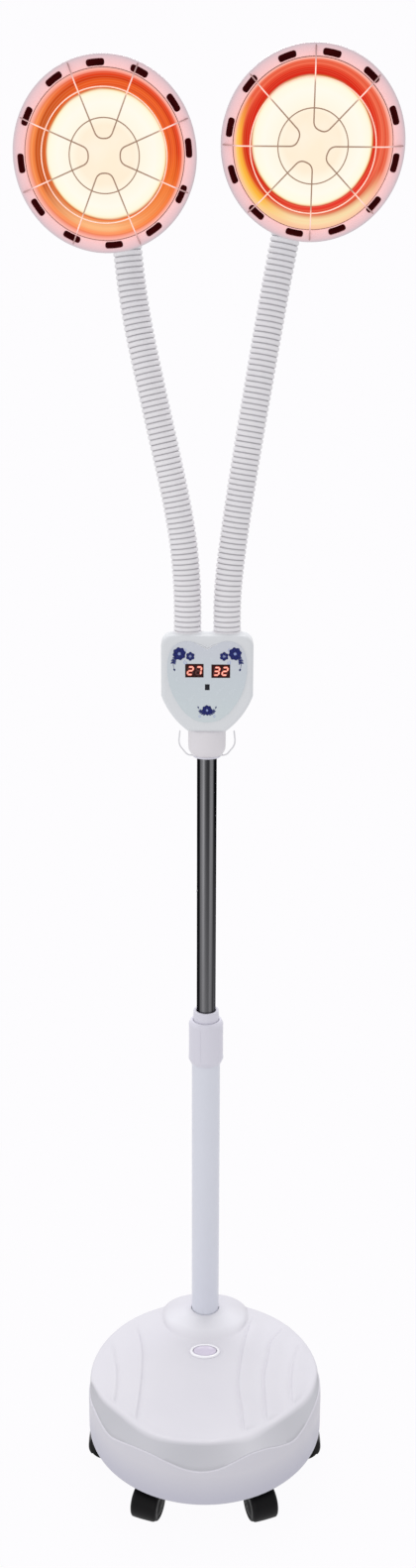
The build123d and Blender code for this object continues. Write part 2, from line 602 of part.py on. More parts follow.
ARM_POINTS = {}
for side, (C, pitch, slope, _, _, low, below) in HEADS.items():
    n = math.hypot(slope, 1)
    T = (slope / n, 0, 1 / n)            # direction of the hose below the bend
    F = (0, -1, 0)                       # forward
    A = math.radians(90 + pitch)         # angle of the whole bend
    A6 = A / 2                           # the upper joint is half-way round

    def on_bend(a):
        return tuple(A0[i] + ELBOW_R * (1 - math.cos(a)) * F[i] + ELBOW_R * math.sin(a) * T[i] for i in range(3))

    def tangent(a):
        return tuple(math.sin(a) * F[i] + math.cos(a) * T[i] for i in range(3))

    f = tangent(A)                       # the way the head faces
    N = along(C, f, -HEAD_L)
    A0 = (0, 0, 0)
    A0 = sub(N, on_bend(A))
    J = list(low) + [along(A0, T, -below)]
    J6, t6 = on_bend(A6), tangent(A6)
    n6 = tuple(math.cos(A6) * F[i] - math.sin(A6) * T[i] for i in range(3))
    centre = along(A0, F, ELBOW_R)
    bend_axis = tuple(Vector(*T).cross(Vector(*F)))
    ARM_POINTS[side] = (J, A0, J6, N, f, n6, t6)

    for k in range(4):
        save(straight_piece(J[k], J[k + 1], True).part, f"arm_{side}_{k + 1}")

    # lower half of the bend
    with BuildPart() as lower:
        add(straight_piece(J[4], A0, False).part)
        with BuildSketch(Plane(origin=A0, x_dir=F, z_dir=T)):
            Circle(HOSE_R)
            Circle(HOSE_BORE, mode=Mode.SUBTRACT)
        revolve(axis=Axis(centre, bend_axis), revolution_arc=math.degrees(A6 - SHOULDER / ELBOW_R))
        with BuildSketch(joint_plane(J6, t6)):
            with BuildLine():
                Polyline((NECK_R, -ZN), (NECK_R, -SHOULDER - 4), (HOSE_BORE, -SHOULDER - 4), (HOSE_BORE, ZT))
                ThreePointArc((HOSE_BORE, ZT), (BALL_R, 0), (NECK_R, -ZN))
            make_face()
        revolve(axis=Axis(J6, t6))
    save(lower.part, f"arm_{side}_5")

    # upper half of the bend, up to the back of the head
    with BuildPart() as upper:
        with BuildSketch(Plane(origin=along(J6, t6, -LIP), x_dir=n6, z_dir=t6)):
            Circle(HOSE_R)
        extrude(amount=LIP)
        with BuildSketch(Plane(origin=J6, x_dir=n6, z_dir=t6)):
            Circle(HOSE_R)
        revolve(axis=Axis(centre, bend_axis), revolution_arc=math.degrees(A - A6))
        with BuildSketch(Plane(origin=J6, x_dir=n6, z_dir=t6)):
            Circle(HOSE_BORE)
        revolve(axis=Axis(centre, bend_axis), revolution_arc=math.degrees(A - A6), mode=Mode.SUBTRACT)
        with BuildSketch(joint_plane(J6, t6)):
            with BuildLine():
                Line((0, -CUP_R), (0, CUP_R))
                ThreePointArc((0, CUP_R), (CUP_R, 0), (0, -CUP_R))
            make_face()
        revolve(axis=Axis(J6, t6), mode=Mode.SUBTRACT)
    save(upper.part, f"arm_{side}_6")

# ================================================================ heads
# Drawn with the rim plane at z = 0 and the neck towards +z.
with BuildPart() as shade:
    with BuildSketch(Plane.XZ):
        with BuildLine():
            outer = [(88.2, 3), (88.2, 22), (85, 45), (77.5, 70), (66.5, 95), (53, 118), (39, 138), (30, 152), (28, 160)]
            Spline(*outer, tangents=[(0, 1), (0, 1)])
            Polyline((28, 160), (28, 176), (22, HEAD_L), (HOSE_BORE, HEAD_L), (HOSE_BORE, HEAD_L - 2.2), (26, HEAD_L - 9),
                     (26, 160))
            inner = [(86.2, 3), (86.2, 22), (83, 45), (75.6, 69), (64.8, 93.6), (51.4, 116.4), (37.2, 136.8), (28.1, 151.4),
                     (26, 160)]
            Spline(*inner, tangents=[(0, 1), (0, 1)])
            Line((86.2, 3), (88.2, 3))
        make_face()
    revolve(axis=Axis.Z)

with BuildPart() as reflector:
    with BuildSketch(Plane.XZ):
        with BuildLine():
            Spline((77.2, 0.8), (74.5, 20), (70.5, 42), (65, 66), (57, 90), (45.5, 113), (33, 134), (24.2, 146))
            Line((24.2, 146), (25.6, 146))
            Spline((78.5, 0.8), (75.8, 20.2), (71.8, 42.3), (66.2, 66.5), (58.2, 90.6), (46.5, 113.8), (34, 134.8), (25.6, 146))
            Line((78.5, 0.8), (77.2, 0.8))
        make_face()
    revolve(axis=Axis.Z)

with BuildPart() as lampholder:
    with BuildSketch(Plane.XZ):
        with BuildLine():
            Polyline((13.5, 146), (25.6, 146), (25.6, 149), (21, 151), (21, 171), (19, 173.5), (4, 173.5), (4, 171.5),
                     (13.5, 171.5), (13.5, 146))
        make_face()
    revolve(axis=Axis.Z)

# glass envelope and screw cap in one, hollow, open at the contact in the tip
with BuildPart() as bulb:
    with BuildSketch(Plane.XZ):
        with BuildLine():
            Spline((0, 21.5), (30, 22.4), (50, 25.6), (60, 33), (62.5, 44), (60.6, 58), (53.5, 80), (43, 101), (31, 120),
                   (20, 136), (14.5, 144), (13.2, 148), tangents=[(1, 0), (0, 1)])
            Polyline((13.2, 148), (13.2, 166), (9, 170.2), (1.5, 171), (1.5, 152), (11.9, 150))
            Spline((0, 22.8), (29.6, 23.7), (49.2, 26.8), (58.9, 33.8), (61.2, 44), (59.3, 57.7), (52.3, 79.5), (41.8, 100.4),
                   (29.9, 119.3), (18.9, 135.3), (13.2, 143.4), (11.9, 150), tangents=[(1, 0), (0, 1)])
            Line((0, 22.8), (0, 21.5))
        make_face()
    revolve(axis=Axis.Z)

with BuildPart() as front_ring:
    with BuildSketch(Plane.XZ):
        with BuildLine():
            Polyline((78.8, 0), (88.6, 0), (89.6, 0.5), (RIM_R, 1.5), (RIM_R, 16), (88.5, 16), (88.5, 3), (80.2, 3), (80.2, 9),
                     (78.8, 9), (78.8, 0))
        make_face()
    revolve(axis=Axis.Z)
    with BuildSketch(Plane.XY.offset(-1)):
        with PolarLocations(83.6, 12, start_angle=0):
            SlotOverall(18.0, 6.0, rotation=90)
    extrude(amount=5, mode=Mode.SUBTRACT)

GUARD_W = 11.0           # how far the guard stands in front of the rim
WIRE_R = 1.0
with BuildPart() as wire_guard:
    for k in range(4):
        u = math.radians(90 * k)
        cu, su = math.cos(u), math.sin(u)

        def at(r, off):
            a = u + off
            return (r * math.cos(a), r * math.sin(a))

        h = math.radians(22.5)
        x0 = 15.5
        pts = [at(70, h), at(x0 / math.cos(h), h), at(x0 / math.cos(h), -h), at(70, -h)]
        with BuildLine(Plane.XY.offset(-GUARD_W)) as loop:
            FilletPolyline(*pts, radius=8.5)
        d = unit((pts[1][0] - pts[0][0], pts[1][1] - pts[0][1], 0))
        with BuildSketch(Plane(origin=(*pts[0], -GUARD_W), z_dir=d)):
            Circle(WIRE_R)
        sweep(path=loop.line)
        for off in (h, -h):
            p = (*at(70, off), -GUARD_W)
            q = (*at(88.0, off), -1.1)
            d = unit(sub(q, p))
            with BuildSketch(Plane(origin=p, z_dir=d)):
                Circle(WIRE_R)
            extrude(amount=math.dist(p, q))
            with Locations(p, q):
                Sphere(WIRE_R)
    for r in (34.0, 61.0):
        with Locations((0, 0, -GUARD_W + 1.2)):
            Torus(r, WIRE_R)

for side, (C, pitch, slope, vent_turn, guard_turn, _, _) in HEADS.items():
    J, A0, J6, N, f, n6, t6 = ARM_POINTS[side]
    b = Vector(*f) * -1
    x = (Vector(1, 0, 0) - b * b.dot(Vector(1, 0, 0))).normalized()
    head = Plane(origin=C, x_dir=tuple(x), z_dir=tuple(b))
    # in this plane +Y points down, so turns seen from the front change sign
    vents = head.location * Location((0, 0, 0), (0, 0, -(5.0 + vent_turn)))
    guard = head.location * Location((0, 0, 0), (0, 0, -guard_turn))
    save(shade.part.moved(head.location), f"shade_{side}")
    save(reflector.part.moved(head.location), f"reflector_{side}")
    save(lampholder.part.moved(head.location), f"lampholder_{side}")
    save(bulb.part.moved(head.location), f"bulb_{side}")
    save(front_ring.part.moved(vents), f"front_ring_{side}")
    save(wire_guard.part.moved(guard), f"wire_guard_{side}")

for side, (J, A0, J6, N, f, n6, t6) in ARM_POINTS.items():
    print(side, "joints", [tuple(round(c, 3) for c in p) for p in J], "J6", tuple(round(c, 3) for c in J6),
          "n6", tuple(round(c, 4) for c in n6), "t6", tuple(round(c, 4) for c in t6),
          "A0", tuple(round(c, 3) for c in A0), "N", tuple(round(c, 3) for c in N), "faces", tuple(round(c, 4) for c in f))
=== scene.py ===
import math

import bmesh
import bpy
import numpy as np
from mathutils import Matrix, Vector
from mathutils.geometry import delaunay_2d_cdt


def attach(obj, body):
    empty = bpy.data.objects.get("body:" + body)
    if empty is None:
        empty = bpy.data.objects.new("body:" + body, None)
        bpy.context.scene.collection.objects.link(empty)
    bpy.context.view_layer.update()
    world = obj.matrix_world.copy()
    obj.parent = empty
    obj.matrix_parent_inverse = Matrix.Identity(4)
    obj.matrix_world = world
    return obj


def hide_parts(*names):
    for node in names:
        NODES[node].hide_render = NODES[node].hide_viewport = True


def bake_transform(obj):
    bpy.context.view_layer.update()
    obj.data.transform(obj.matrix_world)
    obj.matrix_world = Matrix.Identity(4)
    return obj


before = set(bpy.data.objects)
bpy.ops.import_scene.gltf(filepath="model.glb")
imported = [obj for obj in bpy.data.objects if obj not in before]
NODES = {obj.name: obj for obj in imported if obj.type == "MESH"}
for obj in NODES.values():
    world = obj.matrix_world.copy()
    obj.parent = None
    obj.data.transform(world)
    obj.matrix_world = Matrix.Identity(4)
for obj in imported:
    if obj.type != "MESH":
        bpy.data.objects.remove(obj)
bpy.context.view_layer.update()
MM = 0.001
SIDES = ("left", "right")


# ------------------------------------------------------------------ helpers
def srgb(*c):
    out = []
    for v in c[:3]:
        v = v / 255
        out.append(v / 12.92 if v <= 0.04045 else ((v + 0.055) / 1.055) ** 2.4)
    return (*out, 1.0)


def smooth(t):
    t = np.clip(t, 0, 1)
    return t * t * (3 - 2 * t)


def make(name, verts, faces, mats, face_mats=None, sharp=38, matrix=None, merge=0.0):
    """Mesh object from millimetre coordinates. The matrix goes into the vertices; where they were before it
    stays with the mesh as "local", for materials laid out round a head's own axis."""
    me = bpy.data.meshes.new(name)
    v = np.asarray(verts, float) * MM
    me.from_pydata(v.tolist(), [], [list(map(int, f)) for f in faces])
    for m in mats if isinstance(mats, (list, tuple)) else [mats]:
        me.materials.append(m)
    if face_mats is not None:
        for p, i in zip(me.polygons, face_mats):
            p.material_index = int(i)
    me.validate()
    bm = bmesh.new()
    bm.from_mesh(me)
    if merge:
        bmesh.ops.remove_doubles(bm, verts=bm.verts, dist=merge * MM)
        bmesh.ops.dissolve_degenerate(bm, edges=bm.edges, dist=1e-7)
    bmesh.ops.recalc_face_normals(bm, faces=bm.faces)
    bm.to_mesh(me)
    bm.free()
    if matrix is not None:
        co = np.empty(len(me.vertices) * 3, np.float32)
        me.vertices.foreach_get("co", co)
        me.attributes.new("local", "FLOAT_VECTOR", "POINT").data.foreach_set("vector", co)
        me.transform(matrix)
    me.shade_smooth()
    me.set_sharp_from_angle(angle=math.radians(sharp))
    o = bpy.data.objects.new(name, me)
    bpy.context.scene.collection.objects.link(o)
    return o


class Shell:
    """Gathers several grids into one mesh."""

    def __init__(self):
        self.v, self.f, self.m, self.n = [], [], [], 0

    def add(self, verts, faces, mat=0):
        verts = np.asarray(verts, float).reshape(-1, 3)
        self.v.append(verts)
        self.f += [[i + self.n for i in f] for f in faces]
        self.m += [mat] * len(faces)
        self.n += len(verts)
        return self

    def grid(self, rows, wrap=True, close=False, mat=0, flip=False, cap0=False, cap1=False):
        """rows: array (r, c, 3); wrap joins the columns, close joins last row to first."""
        rows = np.asarray(rows, float)
        nr, nc = rows.shape[:2]
        f = []
        for i in range(nr if close else nr - 1):
            i2 = (i + 1) % nr
            for j in range(nc if wrap else nc - 1):
                j2 = (j + 1) % nc
                q = [i * nc + j, i * nc + j2, i2 * nc + j2, i2 * nc + j]
                f.append(q[::-1] if flip else q)
        if cap0:
            q = list(range(nc))[::-1]
            f.append(q[::-1] if flip else q)
        if cap1:
            q = [(nr - 1) * nc + j for j in range(nc)]
            f.append(q[::-1] if flip else q)
        return self.add(rows.reshape(-1, 3), f, mat)

    def lathe(self, profile, segs=96, close=True, mat=0, centre=(0, 0), flip=False, phase=0.0):
        """profile of (r, z) about the z axis; runs so that the outside is on the right of the path going up."""
        a = np.arange(segs) * 2 * math.pi / segs + phase
        p = np.asarray(profile, float)
        rows = np.stack([np.outer(p[:, 0], np.cos(a)) + centre[0], np.outer(p[:, 0], np.sin(a)) + centre[1],
                         np.repeat(p[:, 1:2], segs, 1)], -1)
        return self.grid(rows, True, close, mat, flip)

    def object(self, name, mats, sharp=38, matrix=None, merge=0.0):
        return make(name, np.concatenate(self.v), self.f, mats, self.m, sharp, matrix, merge)


def frames(path, up=(1, 0, 0), closed=False):
    """Tangents and two normals carried along a path without twist."""
    p = np.asarray(path, float)
    n = len(p)
    if closed:
        t = np.roll(p, -1, 0) - np.roll(p, 1, 0)
    else:
        t = np.gradient(p, axis=0)
    t /= np.linalg.norm(t, axis=1)[:, None]
    a = np.zeros_like(p)
    u = np.array(up, float)
    for i in range(n):
        u = u - t[i] * (u @ t[i])
        if np.linalg.norm(u) < 1e-6:
            u = np.cross(t[i], (0.3, 0.5, 0.8))
        u /= np.linalg.norm(u)
        a[i] = u
    return t, a, np.cross(t, a)


def tube(path, radius, segs=10, up=(1, 0, 0), closed=False):
    """Rows of a round tube along a path; radius may be one number per point."""
    p = np.asarray(path, float)
    r = np.full(len(p), float(radius)) if np.isscalar(radius) else np.asarray(radius, float)
    t, a, b = frames(p, up, closed)
    w = np.arange(segs) * 2 * math.pi / segs
    return p[:, None] + r[:, None, None] * (a[:, None] * np.cos(w)[None, :, None] + b[:, None] * np.sin(w)[None, :, None])


def rounded(points, radius, step=6):
    """Polyline with filleted corners."""
    pts = [np.array(p, float) for p in points]
    rs = radius if isinstance(radius, (list, tuple)) else [radius] * (len(pts) - 2)
    out = [pts[0]]
    for i in range(1, len(pts) - 1):
        a, b, c = pts[i - 1], pts[i], pts[i + 1]
        u, v = (a - b) / np.linalg.norm(a - b), (c - b) / np.linalg.norm(c - b)
        ang = math.acos(max(-1, min(1, u @ v)))
        d = rs[i - 1] / math.tan(ang / 2)
        d = min(d, 0.49 * np.linalg.norm(a - b), 0.49 * np.linalg.norm(c - b))
        s, e = b + u * d, b + v * d
        for k in range(step + 1):
            t = k / step
            out.append(s * (1 - t) ** 2 + 2 * b * t * (1 - t) + e * t * t)
    out.append(pts[-1])
    return np.array(out)


def resample(path, spacing):
    p = np.asarray(path, float)
    d = np.concatenate([[0], np.cumsum(np.linalg.norm(np.diff(p, axis=0), axis=1))])
    n = max(2, int(round(d[-1] / spacing)) + 1)
    s = np.linspace(0, d[-1], n)
    return np.stack([np.interp(s, d, p[:, k]) for k in range(3)], 1)


# ------------------------------------------------------------------ materials
class Mat:
    def __init__(self, name, local=False, **sockets):
        self.m = bpy.data.materials.new(name)
        self.m.use_nodes = True
        self.nt = self.m.node_tree
        self.nt.nodes.clear()
        self.out = self.nt.nodes.new("ShaderNodeOutputMaterial")
        self.b = self.nt.nodes.new("ShaderNodeBsdfPrincipled")
        self.nt.links.new(self.b.outputs[0], self.out.inputs[0])
        if local:
            at = self.nt.nodes.new("ShaderNodeAttribute")
            at.attribute_name = "local"
            self.co = at.outputs["Vector"]
        else:
            self.co = self.nt.nodes.new("ShaderNodeTexCoord").outputs["Object"]
        self.normal = None
        for k, v in sockets.items():
            self.set(k, v)

    def set(self, key, v):
        names = dict(color="Base Color", rough="Roughness", metal="Metallic", ior="IOR", spec="Specular IOR Level",
                     coat="Coat Weight", coat_rough="Coat Roughness", emit="Emission Color", power="Emission Strength",
                     sheen="Sheen Weight", tint="Specular Tint", trans="Transmission Weight", sss="Subsurface Weight")
        s = self.b.inputs[names[key]]
        if isinstance(v, bpy.types.NodeSocket):
            self.nt.links.new(v, s)
        else:
            s.default_value = v

    def node(self, kind, **kw):
        n = self.nt.nodes.new(kind)
        for k, v in kw.items():
            if k.startswith("in_"):
                n.inputs[int(k[3:])].default_value = v
            else:
                setattr(n, k, v)
        return n

    def link(self, a, b):
        self.nt.links.new(a, b)

    def noise(self, scale, detail=3.0, rough=0.5, stretch=None, vector=None):
        n = self.node("ShaderNodeTexNoise")
        n.inputs["Scale"].default_value = scale
        n.inputs["Detail"].default_value = detail
        n.inputs["Roughness"].default_value = rough
        src = vector or self.co
        if stretch:
            mp = self.node("ShaderNodeMapping")
            mp.inputs["Scale"].default_value = stretch
            self.link(src, mp.inputs["Vector"])
            src = mp.outputs["Vector"]
        self.link(src, n.inputs["Vector"])
        return n.outputs["Fac"]

    def ramp(self, fac, stops, interp="LINEAR"):
        n = self.node("ShaderNodeValToRGB")
        n.color_ramp.interpolation = interp
        els = n.color_ramp.elements
        while len(els) > 1:
            els.remove(els[-1])
        for i, (p, c) in enumerate(stops):
            e = els[0] if i == 0 else els.new(p)
            e.position = p
            e.color = c
        self.link(fac, n.inputs[0])
        return n.outputs[0]

    def range(self, fac, a, b, lo=0.0, hi=1.0):
        n = self.node("ShaderNodeMapRange")
        for k, v in (("From Min", lo), ("From Max", hi), ("To Min", a), ("To Max", b)):
            n.inputs[k].default_value = v
        self.link(fac, n.inputs["Value"])
        return n.outputs["Result"]

    def math(self, op, a, b=None, c=None):
        n = self.node("ShaderNodeMath", operation=op)
        for i, v in enumerate((a, b, c)):
            if v is None:
                continue
            if isinstance(v, bpy.types.NodeSocket):
                self.link(v, n.inputs[i])
            else:
                n.inputs[i].default_value = v
        return n.outputs[0]

    def mix(self, fac, a, b, mode="MIX"):
        n = self.node("ShaderNodeMix", data_type="RGBA", blend_type=mode)
        for s, v in ((n.inputs[0], fac), (n.inputs[6], a), (n.inputs[7], b)):
            if isinstance(v, bpy.types.NodeSocket):
                self.link(v, s)
            else:
                s.default_value = v
        return n.outputs[2]

    def bump(self, height, strength=0.2, distance=0.0002):
        n = self.node("ShaderNodeBump")
        n.inputs["Strength"].default_value = strength
        n.inputs["Distance"].default_value = distance
        self.link(height, n.inputs["Height"])
        if self.normal is not None:
            self.link(self.normal, n.inputs["Normal"])
        self.normal = n.outputs[0]
        self.link(self.normal, self.b.inputs["Normal"])
        return self

    def xyz(self):
        s = self.node("ShaderNodeSeparateXYZ")
        self.link(self.co, s.inputs[0])
        return s.outputs

    def radius_mm(self, cx=0.0, cy=0.0):
        x, y, z = self.xyz()
        if cx or cy:
            x, y = self.math("SUBTRACT", x, cx * MM), self.math("SUBTRACT", y, cy * MM)
        r = self.math("SQRT", self.math("ADD", self.math("MULTIPLY", x, x), self.math("MULTIPLY", y, y)))
        return self.math("MULTIPLY", r, 1000.0)


def mul(c, k):
    return (min(1, c[0] * k), min(1, c[1] * k), min(1, c[2] * k), 1.0)


def plastic(name, color, rough=0.32, grain=850, grain_strength=0.10, mottle=0.05, cloud=9.0, spec=0.5, coat=0.0,
            painted_crevice_shade=None, wear=0.0):
    """Moulded plastic: fine grain in the surface, slow changes of tone and of gloss, and painted shade in crevices
    where asked for.
    """
    m = Mat(name, spec=spec, coat=coat, coat_rough=0.12)
    slow = m.noise(cloud, 2.0, 0.5)
    col = m.ramp(slow, [(0.3, mul(color, 1 - mottle)), (0.7, mul(color, 1 + mottle))])
    # painted shade: ambient occlusion darkens the colour in crevices and gaps
    if painted_crevice_shade:
        dist, depth, dark = painted_crevice_shade
        ao = m.node("ShaderNodeAmbientOcclusion", samples=8)
        ao.inputs["Distance"].default_value = dist * MM
        col = m.mix(m.range(ao.outputs["AO"], depth, 0.0, 0.25, 0.95), col, dark)
    m.set("color", col)
    m.set("rough", m.range(m.noise(cloud * 7, 3.0), rough * 0.94, rough * 1.08, 0.2, 0.8))
    if grain_strength >= 0.2:
        m.bump(m.noise(grain, 2.0, 0.6), grain_strength * 0.5, 0.00005)
    return m.m


def metal(name, color, rough=0.25, stretch=(1, 1, 1), scratch=0.15, scale=400, tint=None):
    m = Mat(name, metal=1.0)
    n = m.noise(scale, 3.0, 0.6, stretch)
    m.set("color", m.ramp(n, [(0.3, mul(color, 0.86)), (0.7, mul(color, 1.08))]))
    m.set("rough", m.range(n, rough * 0.75, rough * 1.3, 0.3, 0.7))
    m.bump(n, scratch, 0.00005)
    if tint:
        m.set("tint", tint)
    return m.m


WHITE_TOP = srgb(233, 231, 238)
M = {}


def base_plastic():
    """White cover with a faint lilac cast and with light and shade painted into its colour: a painted shade on the band
    under the crease, painted light on the boss in front of the upright, and the wall under the ledge lighter near it
    and darker lower down.
    """
    m = Mat("cover_white", spec=0.3)
    x, y, z = m.xyz()
    below = m.node("ShaderNodeAttribute", attribute_name="below").outputs["Fac"]
    slow = m.noise(9.0, 2.0)
    top = m.ramp(slow, [(0.3, srgb(214, 212, 219)), (0.7, srgb(218, 216, 222))])
    # painted shade: the band between the crease and the ledge is darker than the top
    band_painted_shade = m.ramp(slow, [(0.3, srgb(190, 190, 196)), (0.7, srgb(195, 194, 200))])
    # painted light: the wall under the ledge is lighter near it and darker towards the bottom
    low = m.mix(m.range(z, 0.0, 1.0, 0.096, 0.060), m.ramp(slow, [(0.3, srgb(215, 213, 221)), (0.7, srgb(218, 216, 224))]), srgb(200, 199, 212))
    wall = m.mix(below, band_painted_shade, low)
    # painted light: the top of the boss in front of the upright is lighter
    foot = m.math("MULTIPLY", m.range(z, 0.0, 1.0, 0.1290, 0.1345), m.range(y, 1.0, 0.0, 0.098, 0.126))
    top = m.mix(foot, top, srgb(228, 227, 233))
    m.set("color", m.mix(m.range(z, 0.0, 1.0, 0.1251, 0.1222), top, wall))
    m.set("rough", m.range(m.noise(60, 3.0), 0.40, 0.50, 0.3, 0.7))
    return m.m


M["cover"] = base_plastic()
M["tube_white"] = plastic("tube_white_coat", srgb(222, 224, 234), 0.3, grain=1400, mottle=0.01, spec=0.4)
M["collar"] = plastic("collar_plastic", srgb(221, 219, 230), 0.32, mottle=0.015, spec=0.4)
M["sleeve"] = plastic("sleeve_white", srgb(230, 226, 230), 0.32, mottle=0.015, spec=0.4)
M["box"] = plastic("box_plastic", srgb(226, 228, 231), 0.32, mottle=0.015, spec=0.4)
# painted shade in the crevices of the lamp shade
M["shade"] = plastic("shade_white", srgb(228, 227, 232), 0.3, mottle=0.03, painted_crevice_shade=(4, 0.4, srgb(120, 120, 128)))
M["black"] = plastic("caster_black", srgb(5, 4, 6), 0.42, grain=700, grain_strength=0.2, mottle=0.25, cloud=40, spec=0.16)
M["tyre"] = plastic("wheel_black", srgb(5, 5, 6), 0.55, grain=500, grain_strength=0.3, mottle=0.3, cloud=60, spec=0.16)
# axle painted near black: painted shade inside the caster hood
M["axle"] = plastic("axle_painted_shade", srgb(22, 21, 23), 0.4, grain=600, grain_strength=0.2, mottle=0.2, cloud=50, spec=0.3)
M["gland"] = plastic("gland_black", srgb(34, 34, 36), 0.45, grain=600, grain_strength=0.2, mottle=0.2, cloud=50)
M["steel"] = metal("zinc_steel", srgb(168, 170, 176), 0.35, (1, 1, 1), 0.25, 250)
M["iron"] = metal("cast_iron", srgb(70, 68, 68), 0.6, (1, 1, 1), 0.6, 500)
M["screw"] = metal("screw_steel", srgb(150, 150, 156), 0.3, (1, 1, 1), 0.2, 700)
M["bush"] = plastic("bush_nylon", srgb(225, 223, 212), 0.45)
M["button"] = plastic("button_cap", srgb(213, 205, 222), 0.28, mottle=0.015, coat=0.2)
# painted shade in the crevices round the bezel
M["bezel"] = plastic("bezel_white", srgb(246, 245, 249), 0.16, mottle=0.01, coat=0.5, painted_crevice_shade=(1.5, 0.5, srgb(110, 108, 122)))
M["ceramic"] = plastic("holder_ceramic", srgb(232, 228, 218), 0.25, mottle=0.04, coat=0.3)
M["board"] = plastic("board_green", srgb(30, 96, 58), 0.35, mottle=0.15, cloud=60)


def hose_material():
    """Soft white vinyl: painted shade darkens the valleys between the ribs, crests are polished."""
    m = Mat("hose_white", spec=0.45, sss=0.0)
    a = m.node("ShaderNodeAttribute", attribute_name="rib")
    rib = a.outputs["Fac"]
    slow = m.noise(14.0, 2.0)
    crest = m.ramp(slow, [(0.3, srgb(240, 238, 240)), (0.7, srgb(245, 243, 245))])
    # painted shade: the colour darkens from crest to valley
    col = m.ramp(rib, [(0.0, srgb(134, 132, 136)), (0.3, srgb(184, 182, 186)), (0.62, srgb(234, 232, 235)), (1.0, srgb(246, 244, 246))])
    col = m.mix(0.5, col, crest, "MULTIPLY")
    m.set("color", m.mix(0.42, col, crest))
    m.set("rough", m.range(rib, 0.6, 0.36))
    m.bump(m.noise(1100, 2.0, 0.6), 0.04, 0.00005)
    return m.m


M["hose"] = hose_material()


def chrome_tube():
    """Dark polished tube: painted reflections run along it as bands of light and dark, with fine draw marks."""
    m = Mat("mirror_tube", metal=1.0, tint=(0.12, 0.12, 0.13, 1))
    x, y, z = m.xyz()
    yy = m.math("SUBTRACT", y, 0.120)
    ang = m.math("ARCTAN2", x, m.math("MULTIPLY", yy, -1.0))
    turn = m.math("MULTIPLY_ADD", ang, 1 / math.pi, 1.0)          # 0..2, 1 = front
    t = m.math("FRACT", m.math("ADD", turn, 0.5))                   # 0.5 = front and back
    g = lambda v: srgb(v, v, v + 2)
    # painted reflections: light and dark bands by angle round the tube, one set higher up and one lower down
    high = m.ramp(t, [(0.0, g(52)), (0.12, g(38)), (0.25, g(36)), (0.275, g(104)), (0.34, g(124)), (0.40, g(164)), (0.42, g(136)), (0.45, g(92)),
                      (0.50, g(60)), (0.56, g(54)), (0.585, g(74)), (0.61, g(126)), (0.68, g(136)), (0.72, g(108)), (0.75, g(36)), (1.0, g(32))])
    low = m.ramp(t, [(0.0, g(60)), (0.12, g(46)), (0.25, g(46)), (0.28, g(96)), (0.34, g(108)), (0.39, g(131)), (0.43, g(120)), (0.47, g(103)),
                     (0.52, g(92)), (0.57, g(86)), (0.60, g(110)), (0.65, g(111)), (0.70, g(84)), (0.745, g(50)), (0.80, g(96)), (1.0, g(120))])
    col = m.mix(m.range(z, 0.0, 1.0, 0.900, 0.620), high, low)
    draw = m.noise(60, 3.0, 0.6, (30, 30, 0.6))
    m.set("color", m.mix(m.range(draw, 0.0, 0.12, 0.35, 0.75), col, g(30)))
    m.set("rough", m.range(draw, 0.16, 0.3, 0.3, 0.7))
    m.bump(m.noise(90, 2.0, 0.5, (25, 25, 0.5)), 0.05, 0.00003)
    return m.m


M["mirror"] = chrome_tube()


def panel_material():
    m = Mat("panel_print", spec=0.5, coat=0.35, coat_rough=0.08)
    x, y, z = m.xyz()
    n = m.noise(16.0, 2.0)
    up = m.range(z, 0.0, 1.0, 1.004, 1.106)
    col = m.ramp(up, [(0.0, srgb(211, 220, 223)), (0.5, srgb(208, 216, 222)), (1.0, srgb(209, 211, 221))])
    col = m.mix(m.range(n, 0.0, 0.3, 0.35, 0.7), col, srgb(208, 220, 222))
    m.set("color", col)
    m.set("rough", m.range(m.noise(120, 2.0), 0.2, 0.3, 0.3, 0.7))
    m.bump(m.noise(1500, 1.0), 0.02, 0.00003)
    return m.m


M["panel"] = panel_material()
# painted highlight along the notch of the heart
M["notch_painted_highlight"] = plastic("notch_painted_highlight", srgb(246, 247, 250), 0.2, mottle=0.01)
M["ink"] = plastic("ink_blue", srgb(16, 24, 96), 0.45, spec=0.2, mottle=0.35, cloud=420, grain_strength=0.03)
M["ink_mid"] = plastic("ink_mid_blue", srgb(46, 62, 150), 0.45, spec=0.2, mottle=0.15, cloud=400, grain_strength=0.03)
M["ink_pale"] = plastic("ink_pale_blue", srgb(142, 158, 214), 0.35, mottle=0.1, cloud=300, grain_strength=0.03)


def display_black():
    m = Mat("display_black", spec=0.15)
    n = m.noise(300, 2.0)
    m.set("color", m.ramp(n, [(0.3, srgb(12, 5, 5)), (0.7, srgb(18, 7, 7))]))
    m.set("rough", m.range(n, 0.16, 0.26, 0.3, 0.7))
    m.set("emit", m.ramp(n, [(0.3, srgb(44, 6, 6)), (0.7, srgb(56, 8, 8))]))
    m.set("power", 0.6)
    return m.m


M["display"] = display_black()


def segment(name, low, high, power):
    m = Mat(name, color=srgb(50, 8, 6), rough=0.4)
    m.set("emit", m.ramp(m.noise(500, 2.0), [(0.3, low), (0.7, high)]))
    m.set("power", power)
    return m.m


M["lit"] = segment("segment_lit", srgb(255, 176, 152), srgb(255, 206, 186), 1.0)
M["halo"] = segment("segment_halo", srgb(206, 40, 24), srgb(226, 62, 40), 1.0)
M["unlit"] = segment("segment_dark", srgb(70, 12, 10), srgb(84, 16, 14), 0.6)
M["ir"] = plastic("ir_dark", srgb(20, 22, 30), 0.25, mottle=0.3, cloud=500, spec=0.25)


